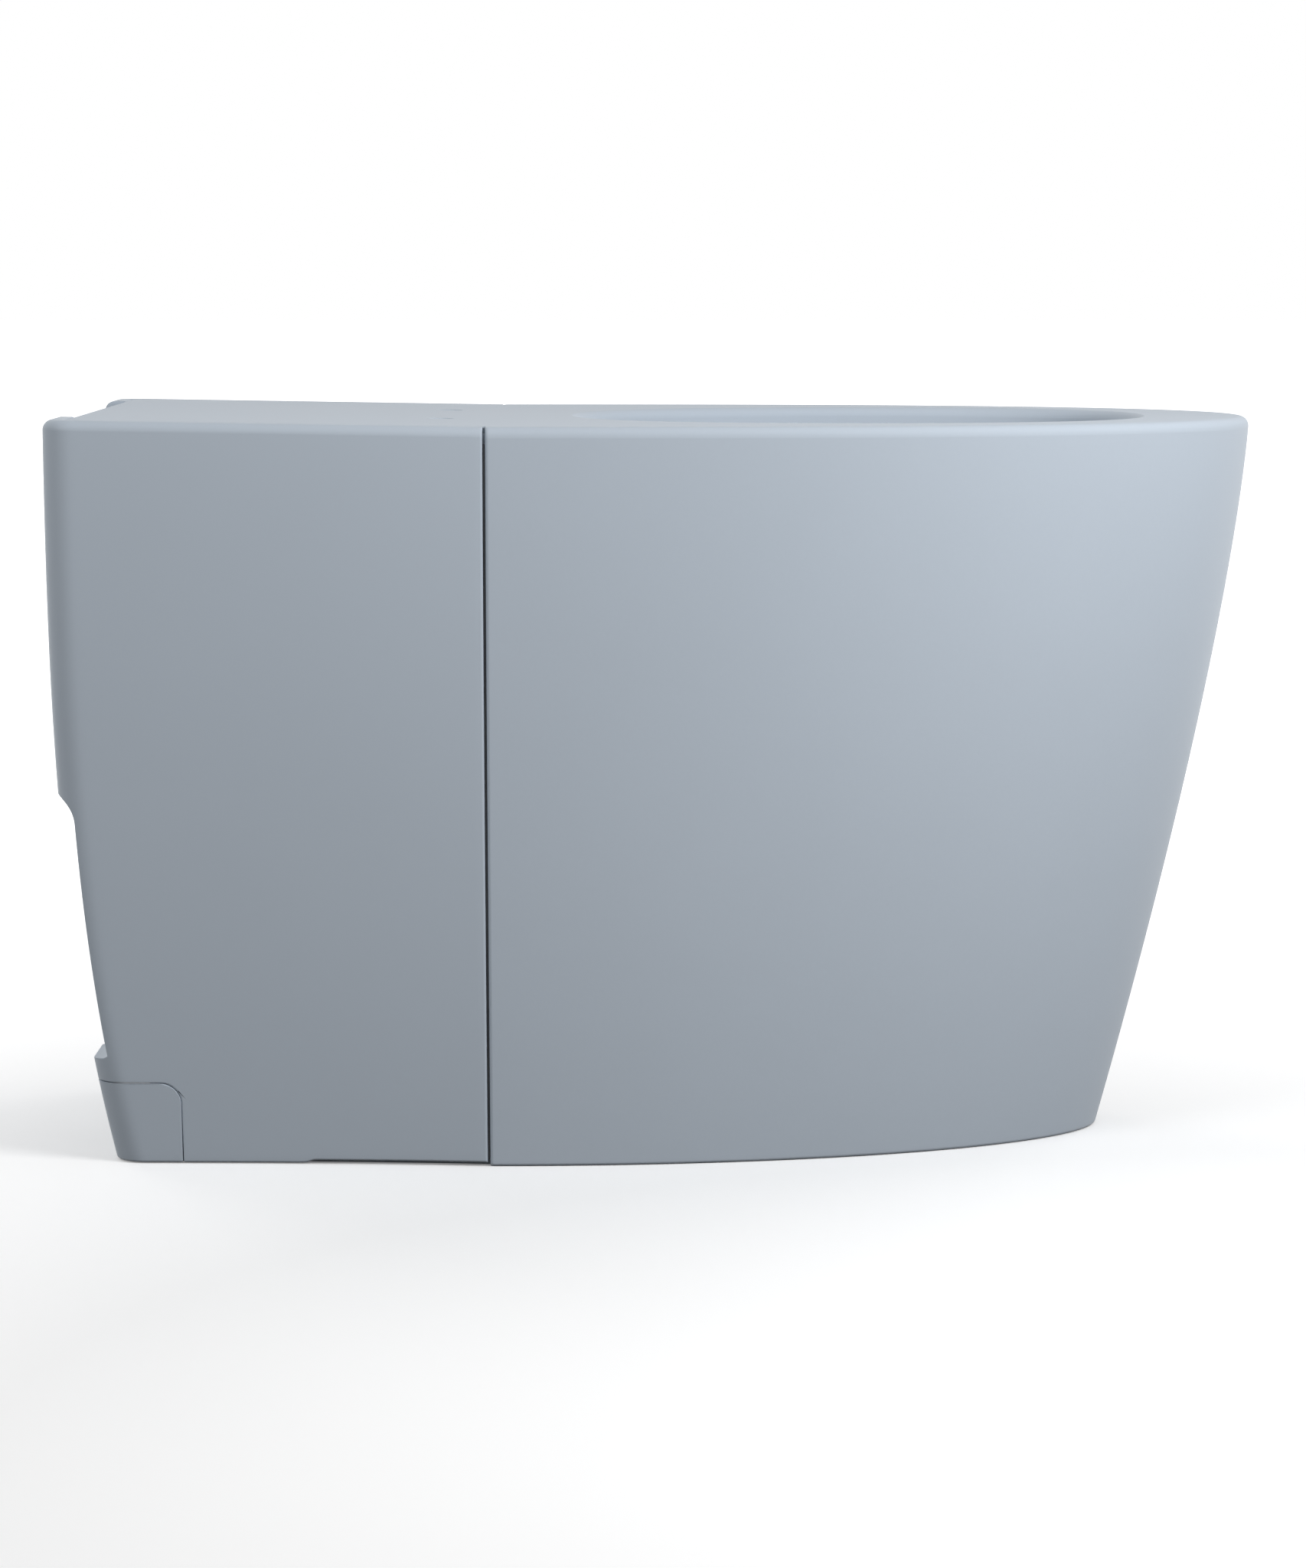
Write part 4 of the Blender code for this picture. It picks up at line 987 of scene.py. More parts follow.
rubber = moulded_rubber("seal_rubber", RUBBER_COLOUR)
white_plastic = moulded("white_plastic", WHITE_COLOUR, WHITE_ROUGHNESS, USUAL_GLOSS, WHITE_GRAIN)
socket_radius = INLET_BORE / 2 - FIT_GAP
bore_radius = socket_radius - INLET_SEAL_WALL
lip_radius = INLET_BORE / 2 + INLET_SEAL_WALL
seal_corners = [
    (socket_radius, -INLET_SEAL_LENGTH, SEAL_EDGE),
    (socket_radius, FIT_GAP, 0),
    (lip_radius, FIT_GAP, SEAL_EDGE),
    (lip_radius, INLET_SEAL_LIP, SEAL_EDGE),
    (bore_radius, INLET_SEAL_LIP, SEAL_EDGE),
    (bore_radius, -INLET_SEAL_LENGTH, SEAL_EDGE),
]
sleeve = moved(turned(rounded_path(seal_corners)), along_x(face_x))
fitted("inlet_sleeve", sleeve, rubber, "bowl", "seal_rubber", "inlet_seal")

stub_radius = bore_radius - FIT_GAP
stub_inside = stub_radius - CONNECTOR_WALL
flange_radius = stub_radius + CONNECTOR_FLANGE_RISE
flange_low = INLET_SEAL_LIP + FIT_GAP
flange_high = flange_low + CONNECTOR_FLANGE_LENGTH
stub_end = face_x - REAR_X - CONNECTOR_REAR_INSET
groove_high = stub_end - GROOVE_FROM_END
groove_low = groove_high - GROOVE_LENGTH
groove_radius = stub_radius - GROOVE_DEPTH
stub_corners = [
    (stub_radius, -INLET_SEAL_LENGTH, CONNECTOR_EDGE),
    (stub_radius, flange_low, 0),
    (flange_radius, flange_low, CONNECTOR_EDGE),
    (flange_radius, flange_high, CONNECTOR_EDGE),
    (stub_radius, flange_high, CONNECTOR_EDGE),
    (stub_radius, groove_low, 0),
    (groove_radius, groove_low, 0),
    (groove_radius, groove_high, 0),
    (stub_radius, groove_high, 0),
    (stub_radius, stub_end, CONNECTOR_EDGE),
    (stub_inside, stub_end, CONNECTOR_EDGE),
    (stub_inside, -INLET_SEAL_LENGTH, CONNECTOR_EDGE),
]
stub = moved(turned(rounded_path(stub_corners)), along_x(face_x))
fitted("inlet_stub", stub, white_plastic, "bowl", "white_plastic", "inlet_connector")
ring_middle = groove_radius + RING_RADIUS
ring_height = (groove_low + groove_high) / 2
ring_profile = [
    (ring_middle + RING_RADIUS * cos(angle), ring_height + RING_RADIUS * sin(angle))
    for angle in full_turn(RING_POINTS)
]
fitted("inlet_ring", moved(turned(ring_profile), along_x(face_x)), rubber, "bowl", "seal_rubber")

# Outlet socket. A white plastic box screwed to the floor under the hollow china. It takes the china's horn
# in a rubber ring and carries the waste forward to the drain.

SOCKET_WALL = 0.004
SOCKET_HEIGHT = 0.046
SOCKET_EDGE = 0.003
COLLAR_RISE = 0.030
COLLAR_EDGE = 0.0012
SEAL_WALL = 0.004
SEAL_HEIGHT = 0.015
ROUGH_IN_SHIFT = 0.070
DRAIN_BORE = 0.070
SOCKET_EAR_LENGTH = 0.026
SOCKET_EAR_THICKNESS = 0.008
SOCKET_EAR_WIDTH = 0.060
EAR_CORNER = 0.008
SOCKET_SCREW_SPACING = 0.036
SOCKET_SCREW_DIAMETER = 0.005
SOCKET_SCREW_HEAD_DIAMETER = 0.010
SOCKET_SCREW_HEAD_HEIGHT = 0.003
RIB_ANGLES = (radians(-25), 0, radians(25))
RIB_THICKNESS = 0.003
RIB_HEIGHT = 0.037
RIB_REACH = 0.010

horn_radius = TRAP_BORE / 2 + CHINA_WALL
collar_bore = horn_radius + SEAL_WALL + 2 * FIT_GAP
collar_radius = collar_bore + SOCKET_WALL
collar_top = SOCKET_HEIGHT + COLLAR_RISE
drain_x = OUTLET_X + ROUGH_IN_SHIFT


def obround(radius, height):
    """Plan outline with half-round ends about the horn and the drain."""
    half_turn = PIPE_SIDES // 2
    outline = []
    for centre, first in ((drain_x, -pi / 2), (OUTLET_X, pi / 2)):
        for i in range(half_turn + 1):
            angle = first + pi * i / half_turn
            outline.append(Vector((centre + radius * cos(angle), radius * sin(angle), height)))
    return outline


def ear_plate():
    """A flat plate under the box, round at its corners, for the screws."""
    rear = OUTLET_X - collar_radius - SOCKET_EAR_LENGTH
    front = drain_x + collar_radius + SOCKET_EAR_LENGTH
    half = SOCKET_EAR_WIDTH / 2
    corners = [(rear, -half), (front, -half), (front, half), (rear, half)]
    outline = rounded_path([(x, y, EAR_CORNER) for x, y in corners])
    return lofted([at_height(outline, z) for z in (0, SOCKET_EAR_THICKNESS)])


def stiffening_ribs():
    """Upright gussets on the ear plate, square to the box's curved ends."""
    start = collar_radius - SOCKET_WALL / 2
    half = RIB_THICKNESS / 2
    stations = (
        (collar_radius + RIB_REACH, SOCKET_EAR_THICKNESS / 2),
        (collar_radius + RIB_REACH, SOCKET_EAR_THICKNESS),
        (collar_radius, RIB_HEIGHT),
    )
    bodies = []
    for centre, facing in ((drain_x, 0), (OUTLET_X, pi)):
        for angle in RIB_ANGLES:
            loops = []
            for end, z in stations:
                plan = ((start, -half), (end, -half), (end, half), (start, half))
                loops.append(at_height(plan, z))
            place = Matrix.Translation((centre, 0, 0)) @ Matrix.Rotation(facing + angle, 4, "Z")
            bodies.append(moved(lofted(loops), place))
    return joined(bodies)


def socket_screw_places():
    reach = collar_radius + SOCKET_EAR_LENGTH / 2
    ends = (OUTLET_X - reach, drain_x + reach)
    return [Vector((x, side * SOCKET_SCREW_SPACING / 2, 0)) for x in ends for _, side in SIDES]


box_rows = rounded_path([(0, 0, 0), (0, SOCKET_HEIGHT, SOCKET_EDGE), (3 * SOCKET_EDGE, SOCKET_HEIGHT, 0)])
box = lofted([obround(collar_radius - inset, z) for inset, z in box_rows])
neck_low = SOCKET_HEIGHT - SOCKET_WALL / 2
neck_corners = [
    (collar_radius, neck_low, 0),
    (collar_radius, collar_top, COLLAR_EDGE),
    (collar_bore - SOCKET_WALL, collar_top, 0),
]
at_horn = Matrix.Translation((OUTLET_X, 0, 0))
at_drain = Matrix.Translation((drain_x, 0, 0))
chamber = lofted([obround(collar_bore, z) for z in (SOCKET_EAR_THICKNESS, SOCKET_HEIGHT - SOCKET_WALL)])
mouth = cylinder(collar_bore, SOCKET_HEIGHT - 2 * SOCKET_WALL, collar_top + CUT_OVERRUN)
drain = cylinder(DRAIN_BORE / 2, -CUT_OVERRUN, 2 * SOCKET_EAR_THICKNESS)
hole_radius = SOCKET_SCREW_DIAMETER / 2 + FIT_GAP
screw_holes = [
    moved(cylinder(hole_radius, -CUT_OVERRUN, 2 * SOCKET_EAR_THICKNESS), Matrix.Translation(place))
    for place in socket_screw_places()
]
socket = to_object("outlet_box", box, white_plastic)
cut_and_joined(
    socket,
    white_plastic,
    [
        ("UNION", "neck", moved(rod(rounded_path(neck_corners)), at_horn)),
        ("UNION", "ears", ear_plate()),
        ("UNION", "ribs", stiffening_ribs()),
        ("DIFFERENCE", "chamber", chamber),
        ("DIFFERENCE", "mouth", moved(mouth, at_horn)),
        ("DIFFERENCE", "drain", moved(drain, at_drain)),
        ("DIFFERENCE", "holes", joined(screw_holes)),
    ],
)
settled(socket, "bowl", "white_plastic", "outlet_socket")
ring_top = collar_top - SOCKET_WALL / 2
ring_inner = horn_radius + FIT_GAP
horn_ring = band(ring_inner, ring_inner + SEAL_WALL, ring_top - SEAL_HEIGHT, ring_top, SEAL_EDGE)
fitted("horn_ring", moved(horn_ring, at_horn), rubber, "bowl", "seal_rubber", "outlet_seal")

# Foot fixings. Behind each side cover a threaded steel bolt from the floor goes through the china's foot, in
# a plastic sleeve, and holds it down with a washer and a nut under a white snap-on cap.

BOLT_DIAMETER = 0.008
BOLT_ABOVE_FOOT = 0.016
BOLT_PITCH = 0.00125
THREAD_DEPTH = 0.0006
THREAD_ROWS = 6
THREAD_SIDES = 24
SLEEVE_WALL = 0.0015
WASHER_DIAMETER = 0.020
WASHER_THICKNESS = 0.0016
WASHER_EDGE = 0.0003
NUT_ACROSS_FLATS = 0.013
NUT_HEIGHT = 0.0065
NUT_CHAMFER = 0.0009
CAP_DIAMETER = 0.0235
CAP_WALL = 0.0012
CAP_HEADROOM = 0.003
CAP_ROUND = 0.0026
CAP_TIP = 0.0004
STEEL_COLOUR = (0.60, 0.61, 0.62)
MARKS_SCALE = (300.0, 300.0, 6000.0)


def bright_steel(name):
    """Zinc-plated steel with fine turned marks and a cloudy shine."""
    finish = Finish(name)
    cloud = finish.noise(scale=180.0, detail=4.0)
    streak = finish.node("ShaderNodeMapping", {"Vector": finish.place, "Scale": MARKS_SCALE})
    marks = finish.node("ShaderNodeTexNoise", {"Vector": streak, "Scale": 1.0, "Detail": 2.0})
    return finish.made(
        colour=finish.toned(STEEL_COLOUR, 0.88 + cloud * 0.2),
        roughness=0.22 + cloud * 0.16 + marks * 0.06,
        height=marks,
        strength=0.4,
        distance=0.00005,
        fixed={"Metallic": 1.0},
    )


def threaded(radius, low, high):
    """A rod whose surface follows one helical groove, chamfered at the top."""
    rows = round((high - low) / BOLT_PITCH * THREAD_ROWS)
    loops = []
    for row in range(rows + 1):
        z = mix(low, high, row / rows)
        chamfer = max(z - high + THREAD_DEPTH * 2, 0) / 2
        loop = []
        for i in range(THREAD_SIDES):
            turn = i / THREAD_SIDES
            groove = THREAD_DEPTH * (0.5 + 0.5 * cos(2 * pi * (z / BOLT_PITCH - turn)))
            r = radius - groove - chamfer
            angle = 2 * pi * turn
            loop.append(Vector((r * cos(angle), r * sin(angle), z)))
        loops.append(loop)
    return lofted(loops)


def hexagonal_nut(low, high, bore):
    """Six flats with their corners chamfered by a cone at both ends."""
    corner = NUT_ACROSS_FLATS / sqrt(3)
    nut = to_object("nut", lofted([circle(corner, z, 6) for z in (low, high)]), steel)
    flat = NUT_ACROSS_FLATS / 2
    edge = flat + NUT_CHAMFER / 6
    cone = [(edge, low), (corner, low + NUT_CHAMFER), (corner, high - NUT_CHAMFER), (edge, high)]
    drill = cylinder(bore, low - CUT_OVERRUN, high + CUT_OVERRUN)
    cut_and_joined(nut, steel, [("INTERSECT", "cones", rod(cone)), ("DIFFERENCE", "bore", drill)])
    bm = bmesh.new()
    bm.from_mesh(nut.data)
    bpy.data.meshes.remove(nut.data)
    return bm


def snap_cap(low, inside, top):
    """A domed cup, open downwards."""
    outer = CAP_DIAMETER / 2
    bore = outer - CAP_WALL
    corners = [
        (CAP_TIP, inside, 0),
        (bore, inside, CAP_ROUND - CAP_WALL),
        (bore, low, 0),
        (outer, low, CAP_TIP),
        (outer, top, CAP_ROUND),
        (CAP_TIP, top, 0),
    ]
    return rod(rounded_path(corners))


steel = bright_steel("bright_steel")
bolt_radius = BOLT_DIAMETER / 2
bolt_bore = bolt_radius + FIT_GAP
bolt_x, bolt_y = bolt_place()
washer_low = FOOT_THICKNESS + FIT_GAP
washer_top = washer_low + WASHER_THICKNESS
nut_low = washer_top + FIT_GAP
bolt_top = FOOT_THICKNESS + BOLT_ABOVE_FOOT
cap_inside = bolt_top + CAP_HEADROOM
sleeve_outer = bolt_radius + SLEEVE_WALL
sleeve_profile = [
    (sleeve_outer, FIT_GAP),
    (sleeve_outer, FOOT_THICKNESS),
    (bolt_bore, FOOT_THICKNESS),
    (bolt_bore, FIT_GAP),
]
for side_name, side in SIDES:
    spot = Matrix.Translation((bolt_x, side * bolt_y, 0))
    washer = band(bolt_bore, WASHER_DIAMETER / 2, washer_low, washer_top, WASHER_EDGE)
    nut = hexagonal_nut(nut_low, nut_low + NUT_HEIGHT, bolt_bore)
    cap = snap_cap(washer_low, cap_inside, cap_inside + CAP_WALL)
    fixings = (
        ("bolt_thread_", threaded(bolt_radius, 0, bolt_top), steel, "bowl", "steel", "floor_bolt_"),
        ("foot_sleeve_", turned(sleeve_profile), white_plastic, "bowl", "white_plastic", "bolt_sleeve_"),
        ("foot_washer_", washer, steel, "bowl", "steel", "floor_washer_"),
        ("foot_nut_", nut, steel, "bowl", "steel", "floor_nut_"),
        ("snap_cap_", cap, white_plastic, "bolt_cap_" + side_name, "white_plastic", "bolt_cap_"),
    )
    for name, bm, material, body, slot, node in fixings:
        fitted(name + side_name, moved(bm, spot), material, body, slot, node + side_name)

# Spring cups and screws. Black nylon cups with six springy fingers grip the covers' studs. A pan-head screw
# through the floor of each cup holds it on its boss, and four larger ones hold the outlet socket's ears.

CUP_DIAMETER = 0.024
CUP_FLOOR = 0.003
CUP_RIM_HEIGHT = 0.0115
CUP_RIM_WALL = 0.0015
CUP_EDGE = 0.0004
CUP_FINGERS = 6
FINGER_WALL = 0.0017
FINGER_SLIT = 0.0015
FINGER_LEAD_IN = 0.0018
FINGER_STEPS = 6
CUP_HEIGHT = 0.014
CUP_BORE = 0.0068
CLIP_SCREW_DIAMETER = 0.0045
CLIP_SCREW_DEPTH = 0.0104
CLIP_SCREW_HEAD_DIAMETER = 0.010
CLIP_SCREW_HEAD_HEIGHT = 0.0025
HEAD_FOOT_SHARE = 0.94
HEAD_CHAMFER_SHARE = 0.15
HEAD_WALL_SHARE = 0.3
HEAD_TOP_SHARE = 0.25
RECESS_WIDTH_SHARE = 0.17
RECESS_REACH_SHARE = 0.58
RECESS_DEPTH_SHARE = 0.6
RECESS_FLOOR_SCALE = 0.7
RECESS_TOP_SCALE = 1.15
NYLON_COLOUR = (0.045, 0.045, 0.050)
NYLON_ROUGHNESS = 0.48
NYLON_GRAIN = 0.00002


def copies_tree():
    """Geometry Nodes: a core with fingers round it, copied to each place along the place's own axis."""
    group = bpy.data.node_groups.new("copies_at_places", "GeometryNodeTree")
    kinds = dict(Places="Geometry", Core="Object", Finger="Object", Fingers="Int", Finish="Material")
    keys = {}
    for name, kind in kinds.items():
        socket = group.interface.new_socket(name, in_out="INPUT", socket_type="NodeSocket" + kind)
        keys[name] = socket.identifier
    group.interface.new_socket("Copies", in_out="OUTPUT", socket_type="NodeSocketGeometry")
    tree = NodeTree(group)
    given = {name: tree.node("NodeGroupInput", output=name) for name in kinds}

    def added(kind, output=0, **inputs):
        return tree.node("GeometryNode" + kind, inputs, output)

    core = added("ObjectInfo", "Geometry", Object=given["Core"])
    finger = added("ObjectInfo", "Geometry", Object=given["Finger"])
    turn = tree.node("ShaderNodeCombineXYZ", {"Z": added("InputIndex") * (2 * pi) / given["Fingers"]})
    rotation = tree.node("FunctionNodeEulerToRotation", {"Euler": turn})
    ring = added("Points", Count=given["Fingers"])
    fingers = added("InstanceOnPoints", Points=ring, Instance=finger, Rotation=rotation)
    whole = added("JoinGeometry", Geometry=[core, fingers])
    axis = tree.node("GeometryNodeInputNamedAttribute", {"Name": "axis"}, data_type="FLOAT_VECTOR")
    upright = tree.node("FunctionNodeAlignRotationToVector", {"Vector": axis}, axis="Z")
    copies = added("InstanceOnPoints", Points=given["Places"], Instance=whole, Rotation=upright)
    real = added("RealizeInstances", Geometry=copies)
    tree.node("NodeGroupOutput", {"Copies": added("SetMaterial", Geometry=real, Material=given["Finish"])})
    return group, keys


def copied(name, places, core, material, finger=None, fingers=0):
    """One mesh of a part at all its (point, axis) places."""
    mesh = bpy.data.meshes.new(name)
    mesh.from_pydata([point for point, _ in places], [], [])
    axes = mesh.attributes.new("axis", "FLOAT_VECTOR", "POINT")
    for item, (_, direction) in zip(axes.data, places):
        item.vector = direction
    obj = placed(name, mesh)
    modifier = obj.modifiers.new("copies", "NODES")
    modifier.node_group = copies_group
    values = {"Core": core, "Finger": finger, "Fingers": fingers, "Finish": material}
    for key, value in values.items():
        if value is not None:
            modifier[copies_keys[key]] = value
    plain(obj)
    for part in (core, finger):
        if part:
            bpy.data.meshes.remove(part.data)
    obj.data.materials.clear()
    obj.data.materials.append(material)
    return obj


def cup_core():
    outer = CUP_DIAMETER / 2
    hole = CLIP_SCREW_DIAMETER / 2 + FIT_GAP
    inner = outer - CUP_RIM_WALL
    corners = [
        (hole, FIT_GAP, 0),
        (outer, FIT_GAP, CUP_EDGE),
        (outer, CUP_RIM_HEIGHT, CUP_EDGE),
        (inner, CUP_RIM_HEIGHT, CUP_EDGE),
        (inner, CUP_FLOOR, 0),
        (hole, CUP_FLOOR, 0),
    ]
    return to_object("cup_core", turned(rounded_path(corners)))


def cup_finger():
    """One sector of the inner wall, rounded at its tip and flared for the stud to find its way in."""
    outer = CUP_BORE + FINGER_WALL
    profile = [
        (CUP_BORE, CUP_FLOOR - FIT_GAP),
        (outer, CUP_FLOOR - FIT_GAP),
        (outer, CUP_HEIGHT - FINGER_LEAD_IN / 2),
        (outer - FINGER_WALL / 4, CUP_HEIGHT),
        (outer - FINGER_WALL / 2, CUP_HEIGHT),
        (CUP_BORE, CUP_HEIGHT - FINGER_LEAD_IN),
    ]
    half = pi / CUP_FINGERS - FINGER_SLIT / 2 / CUP_BORE
    loops = []
    for step in range(FINGER_STEPS + 1):
        angle = mix(-half, half, step / FINGER_STEPS)
        loops.append([Vector((r * cos(angle), r * sin(angle), z)) for r, z in profile])
    return to_object("cup_finger", lofted(loops))


def pan_head_screw(shank, tip, low, head, height):
    """A screw with a domed head and a cross recess. Shank and head are radii, tip and low are heights."""
    profile = [(shank / 2, tip), (shank, tip + shank), (shank, low)]
    profile += [(head * HEAD_FOOT_SHARE, low), (head, low + height * HEAD_CHAMFER_SHARE)]
    for angle in quarter(ARC_STEPS)[1:]:
        radius = head * mix(1, HEAD_TOP_SHARE, 1 - cos(angle))
        profile.append((radius, low + height * mix(HEAD_WALL_SHARE, 1, sin(angle))))
    screw = to_object("screw", rod(profile, THREAD_SIDES))
    width = head * RECESS_WIDTH_SHARE
    reach = head * RECESS_REACH_SHARE
    depth = height * RECESS_DEPTH_SHARE
    outline = []
    for quarter_turn in range(4):
        turn = Matrix.Rotation(pi / 2 * quarter_turn, 2)
        outline += [turn @ Vector(point) for point in ((reach, width), (width, width), (width, reach))]
    top = low + height
    loops = []
    for z, share in ((top - depth, RECESS_FLOOR_SCALE), (top + depth, RECESS_TOP_SCALE)):
        loops.append([Vector((p.x * share, p.y * share, z)) for p in outline])
    return cut_and_joined(screw, None, [("DIFFERENCE", "recess", lofted(loops))])


copies_group, copies_keys = copies_tree()
nylon = moulded("black_nylon", NYLON_COLOUR, NYLON_ROUGHNESS, USUAL_GLOSS, NYLON_GRAIN)
cup_places = [
    (Vector((x, side * y, z)), Vector((0, side, 0))) for _, side in SIDES for x, z, y in clip_places()
]
cup_nodes = [f"{name}_{place}" for name, _ in SIDES for place in CLIP_NAMES]
cups = copied("spring_cups", cup_places, cup_core(), nylon, cup_finger(), CUP_FINGERS)
settled(cups, "bowl", "clip_plastic", *["cover_clip_" + name for name in cup_nodes])
cup_screw = pan_head_screw(
    CLIP_SCREW_DIAMETER / 2,
    -CLIP_SCREW_DEPTH,
    CUP_FLOOR + FIT_GAP,
    CLIP_SCREW_HEAD_DIAMETER / 2,
    CLIP_SCREW_HEAD_HEIGHT,
)
cup_screws = copied("cup_screws", cup_places, cup_screw, steel)
settled(cup_screws, "bowl", "steel", *["clip_screw_" + name for name in cup_nodes])
ear_screw = pan_head_screw(
    SOCKET_SCREW_DIAMETER / 2,
    0,
    SOCKET_EAR_THICKNESS + FIT_GAP,
    SOCKET_SCREW_HEAD_DIAMETER / 2,
    SOCKET_SCREW_HEAD_HEIGHT,
)
ear_places = [(place, Vector((0, 0, 1))) for place in socket_screw_places()]
ear_screws = copied("ear_screws", ear_places, ear_screw, steel)
ear_nodes = [f"socket_screw_{end}_{name}" for end in ("front", "rear") for name, _ in SIDES]
settled(ear_screws, "bowl", "steel", *ear_nodes)

# Seam foam. A strip of dark closed-cell foam on the china's edge, behind each cover's front edge. It stops
# rattle and keeps the joint line dark.

SEAM_GAP = 0.0015
FOAM_LOW = 0.004
FOAM_HIGH = 0.4105
FOAM_ROWS = 60
FOAM_CLEARANCE = 0.0003
FOAM_OUTER_INSET = 0.002
FOAM_INNER_INSET = 0.00425
FOAM_COLOUR = (0.060, 0.062, 0.066)
# How much lighter the cell walls are than the painted shade in the cells' hollows.
CELL_WALL_LIFT = 1.8


def cellular_foam(name, colour):
    """Closed-cell foam: the cells' hollows are painted darker as shade, so it is a little lighter between
    its cells.
    """
    finish = Finish(name)
    cells = finish.cells(scale=1400.0)
    lighter = [part * CELL_WALL_LIFT for part in colour]
    return finish.made(
        # Painted shade: the cells' low hollows are darker and the raised walls between them lighter.
        colour=finish.mixed(cells, (*colour, 1), (*lighter, 1)),
        roughness=0.85 + cells * 0.1,
        height=cells,
        strength=0.8,
        distance=0.0002,
    )


foam = cellular_foam("seam_foam", FOAM_COLOUR)
low_x = SEAM_X - SEAM_GAP + FOAM_CLEARANCE
high_x = SEAM_X - RETURN_DRAFT
for side_name, side in SIDES:
    loops = []
    for row in range(FOAM_ROWS + 1):
        z = mix(FOAM_LOW, FOAM_HIGH, row / FOAM_ROWS)
        outer = side_y(SEAM_X, z) - FOAM_OUTER_INSET
        inner = side_y(SEAM_X, z) - FOAM_INNER_INSET
        corners = ((low_x, outer), (high_x, outer), (high_x, inner), (low_x, inner))
        loops.append([Vector((x, side * y, z)) for x, y in corners])
    fitted("foam_strip_" + side_name, lofted(loops), foam, "bowl", "foam", "seam_seal_" + side_name)

# Side covers. Each is one injection moulding in satin plastic, coloured to match the glaze. It hooks over
# the ledge of the deck, turns round the rear corner and is held by three studs that snap into cups.

COVER_WALL = 0.0035
COVER_EDGE_RADIUS = 0.0015
FILLET_PER_WALL = 0.6
LIP_REACH = 0.012
REAR_RETURN = 0.040
COVER_FLOOR_GAP = 0.0006
RELIEF_LENGTH = 0.105
RELIEF_HEIGHT = 0.0016
RELIEF_RAMP = 0.004
NOTCH_DEPTH = 0.0095
NOTCH_TOP = 0.2145
NOTCH_SHOULDER = 0.018
SHOULDER_EXPONENT = 2.5
SHOULDER_SPACING = 1.5
NOTCH_BOTTOM = 0.061
NOTCH_HEEL = 0.0022
NOTCH_HEEL_CURVE = ((0, 0), (0.25, 0.12), (0.75, 0.5))
STUD_DIAMETER = 0.013
STUD_GRIP = 0.007
STUD_TIP_ROUND = 0.0015
CORNER_COVER_HEIGHT = 0.048
CORNER_COVER_LENGTH = 0.0697
CORNER_COVER_ROUND = 0.012
WINDOW_EDGE_RADIUS = 0.0006
WINDOW_EDGE_SEGMENTS = 3
WINDOW_EDGE_ANGLE = radians(50)

RETURN_STEPS = 10
LOW_ROWS = 13
STRAIGHT_STEPS = 44
STRAIGHT_FROM_REAR = 0.055
BEND_SIDE_STEPS = 14
NOTCH_ROWS = 20
SHOULDER_ROWS = 12
HIGH_ROWS = 30
LIP_ROWS = 4
EDGE_SHARES = [(1 - cos(a), 1 - sin(a)) for a in (0, pi / 6, pi / 3)]

PLASTIC_COLOUR = GLAZE_COLOUR
PLASTIC_ROUGHNESS = 0.42
PLASTIC_GLOSS = 0.2
PLASTIC_GRAIN = 0.00001


def cover_bottom(x):
    """The lower edge is relieved next to the seam."""
    share = min(max((x - SEAM_X + RELIEF_LENGTH) / RELIEF_RAMP, 0), 1)
    return COVER_FLOOR_GAP + RELIEF_HEIGHT * share


def notch_steps(depth):
    """(setback, height) pairs up the rear edge past its shallow notch, depth behind the outer face."""
    low = NOTCH_BOTTOM - depth
    high = NOTCH_TOP + depth
    foot = low + NOTCH_HEEL
    shoulder = high - NOTCH_SHOULDER
    steps = [(NOTCH_DEPTH * inwards, low + NOTCH_HEEL * up) for inwards, up in NOTCH_HEEL_CURVE]
    steps += [(NOTCH_DEPTH, mix(foot, shoulder, row / NOTCH_ROWS)) for row in range(NOTCH_ROWS)]
    for row in range(SHOULDER_ROWS + 1):
        share = 1 - (1 - row / SHOULDER_ROWS) ** SHOULDER_SPACING
        steps.append((NOTCH_DEPTH * (1 - share**SHOULDER_EXPONENT), mix(shoulder, high, share)))
    return steps


def free_edge(depth):
    """Which way the wall's free edge is rounded off on this face of it, and its radius."""
    return (1, COVER_EDGE_RADIUS) if depth == 0 else (-1, COVER_EDGE_RADIUS / 2)


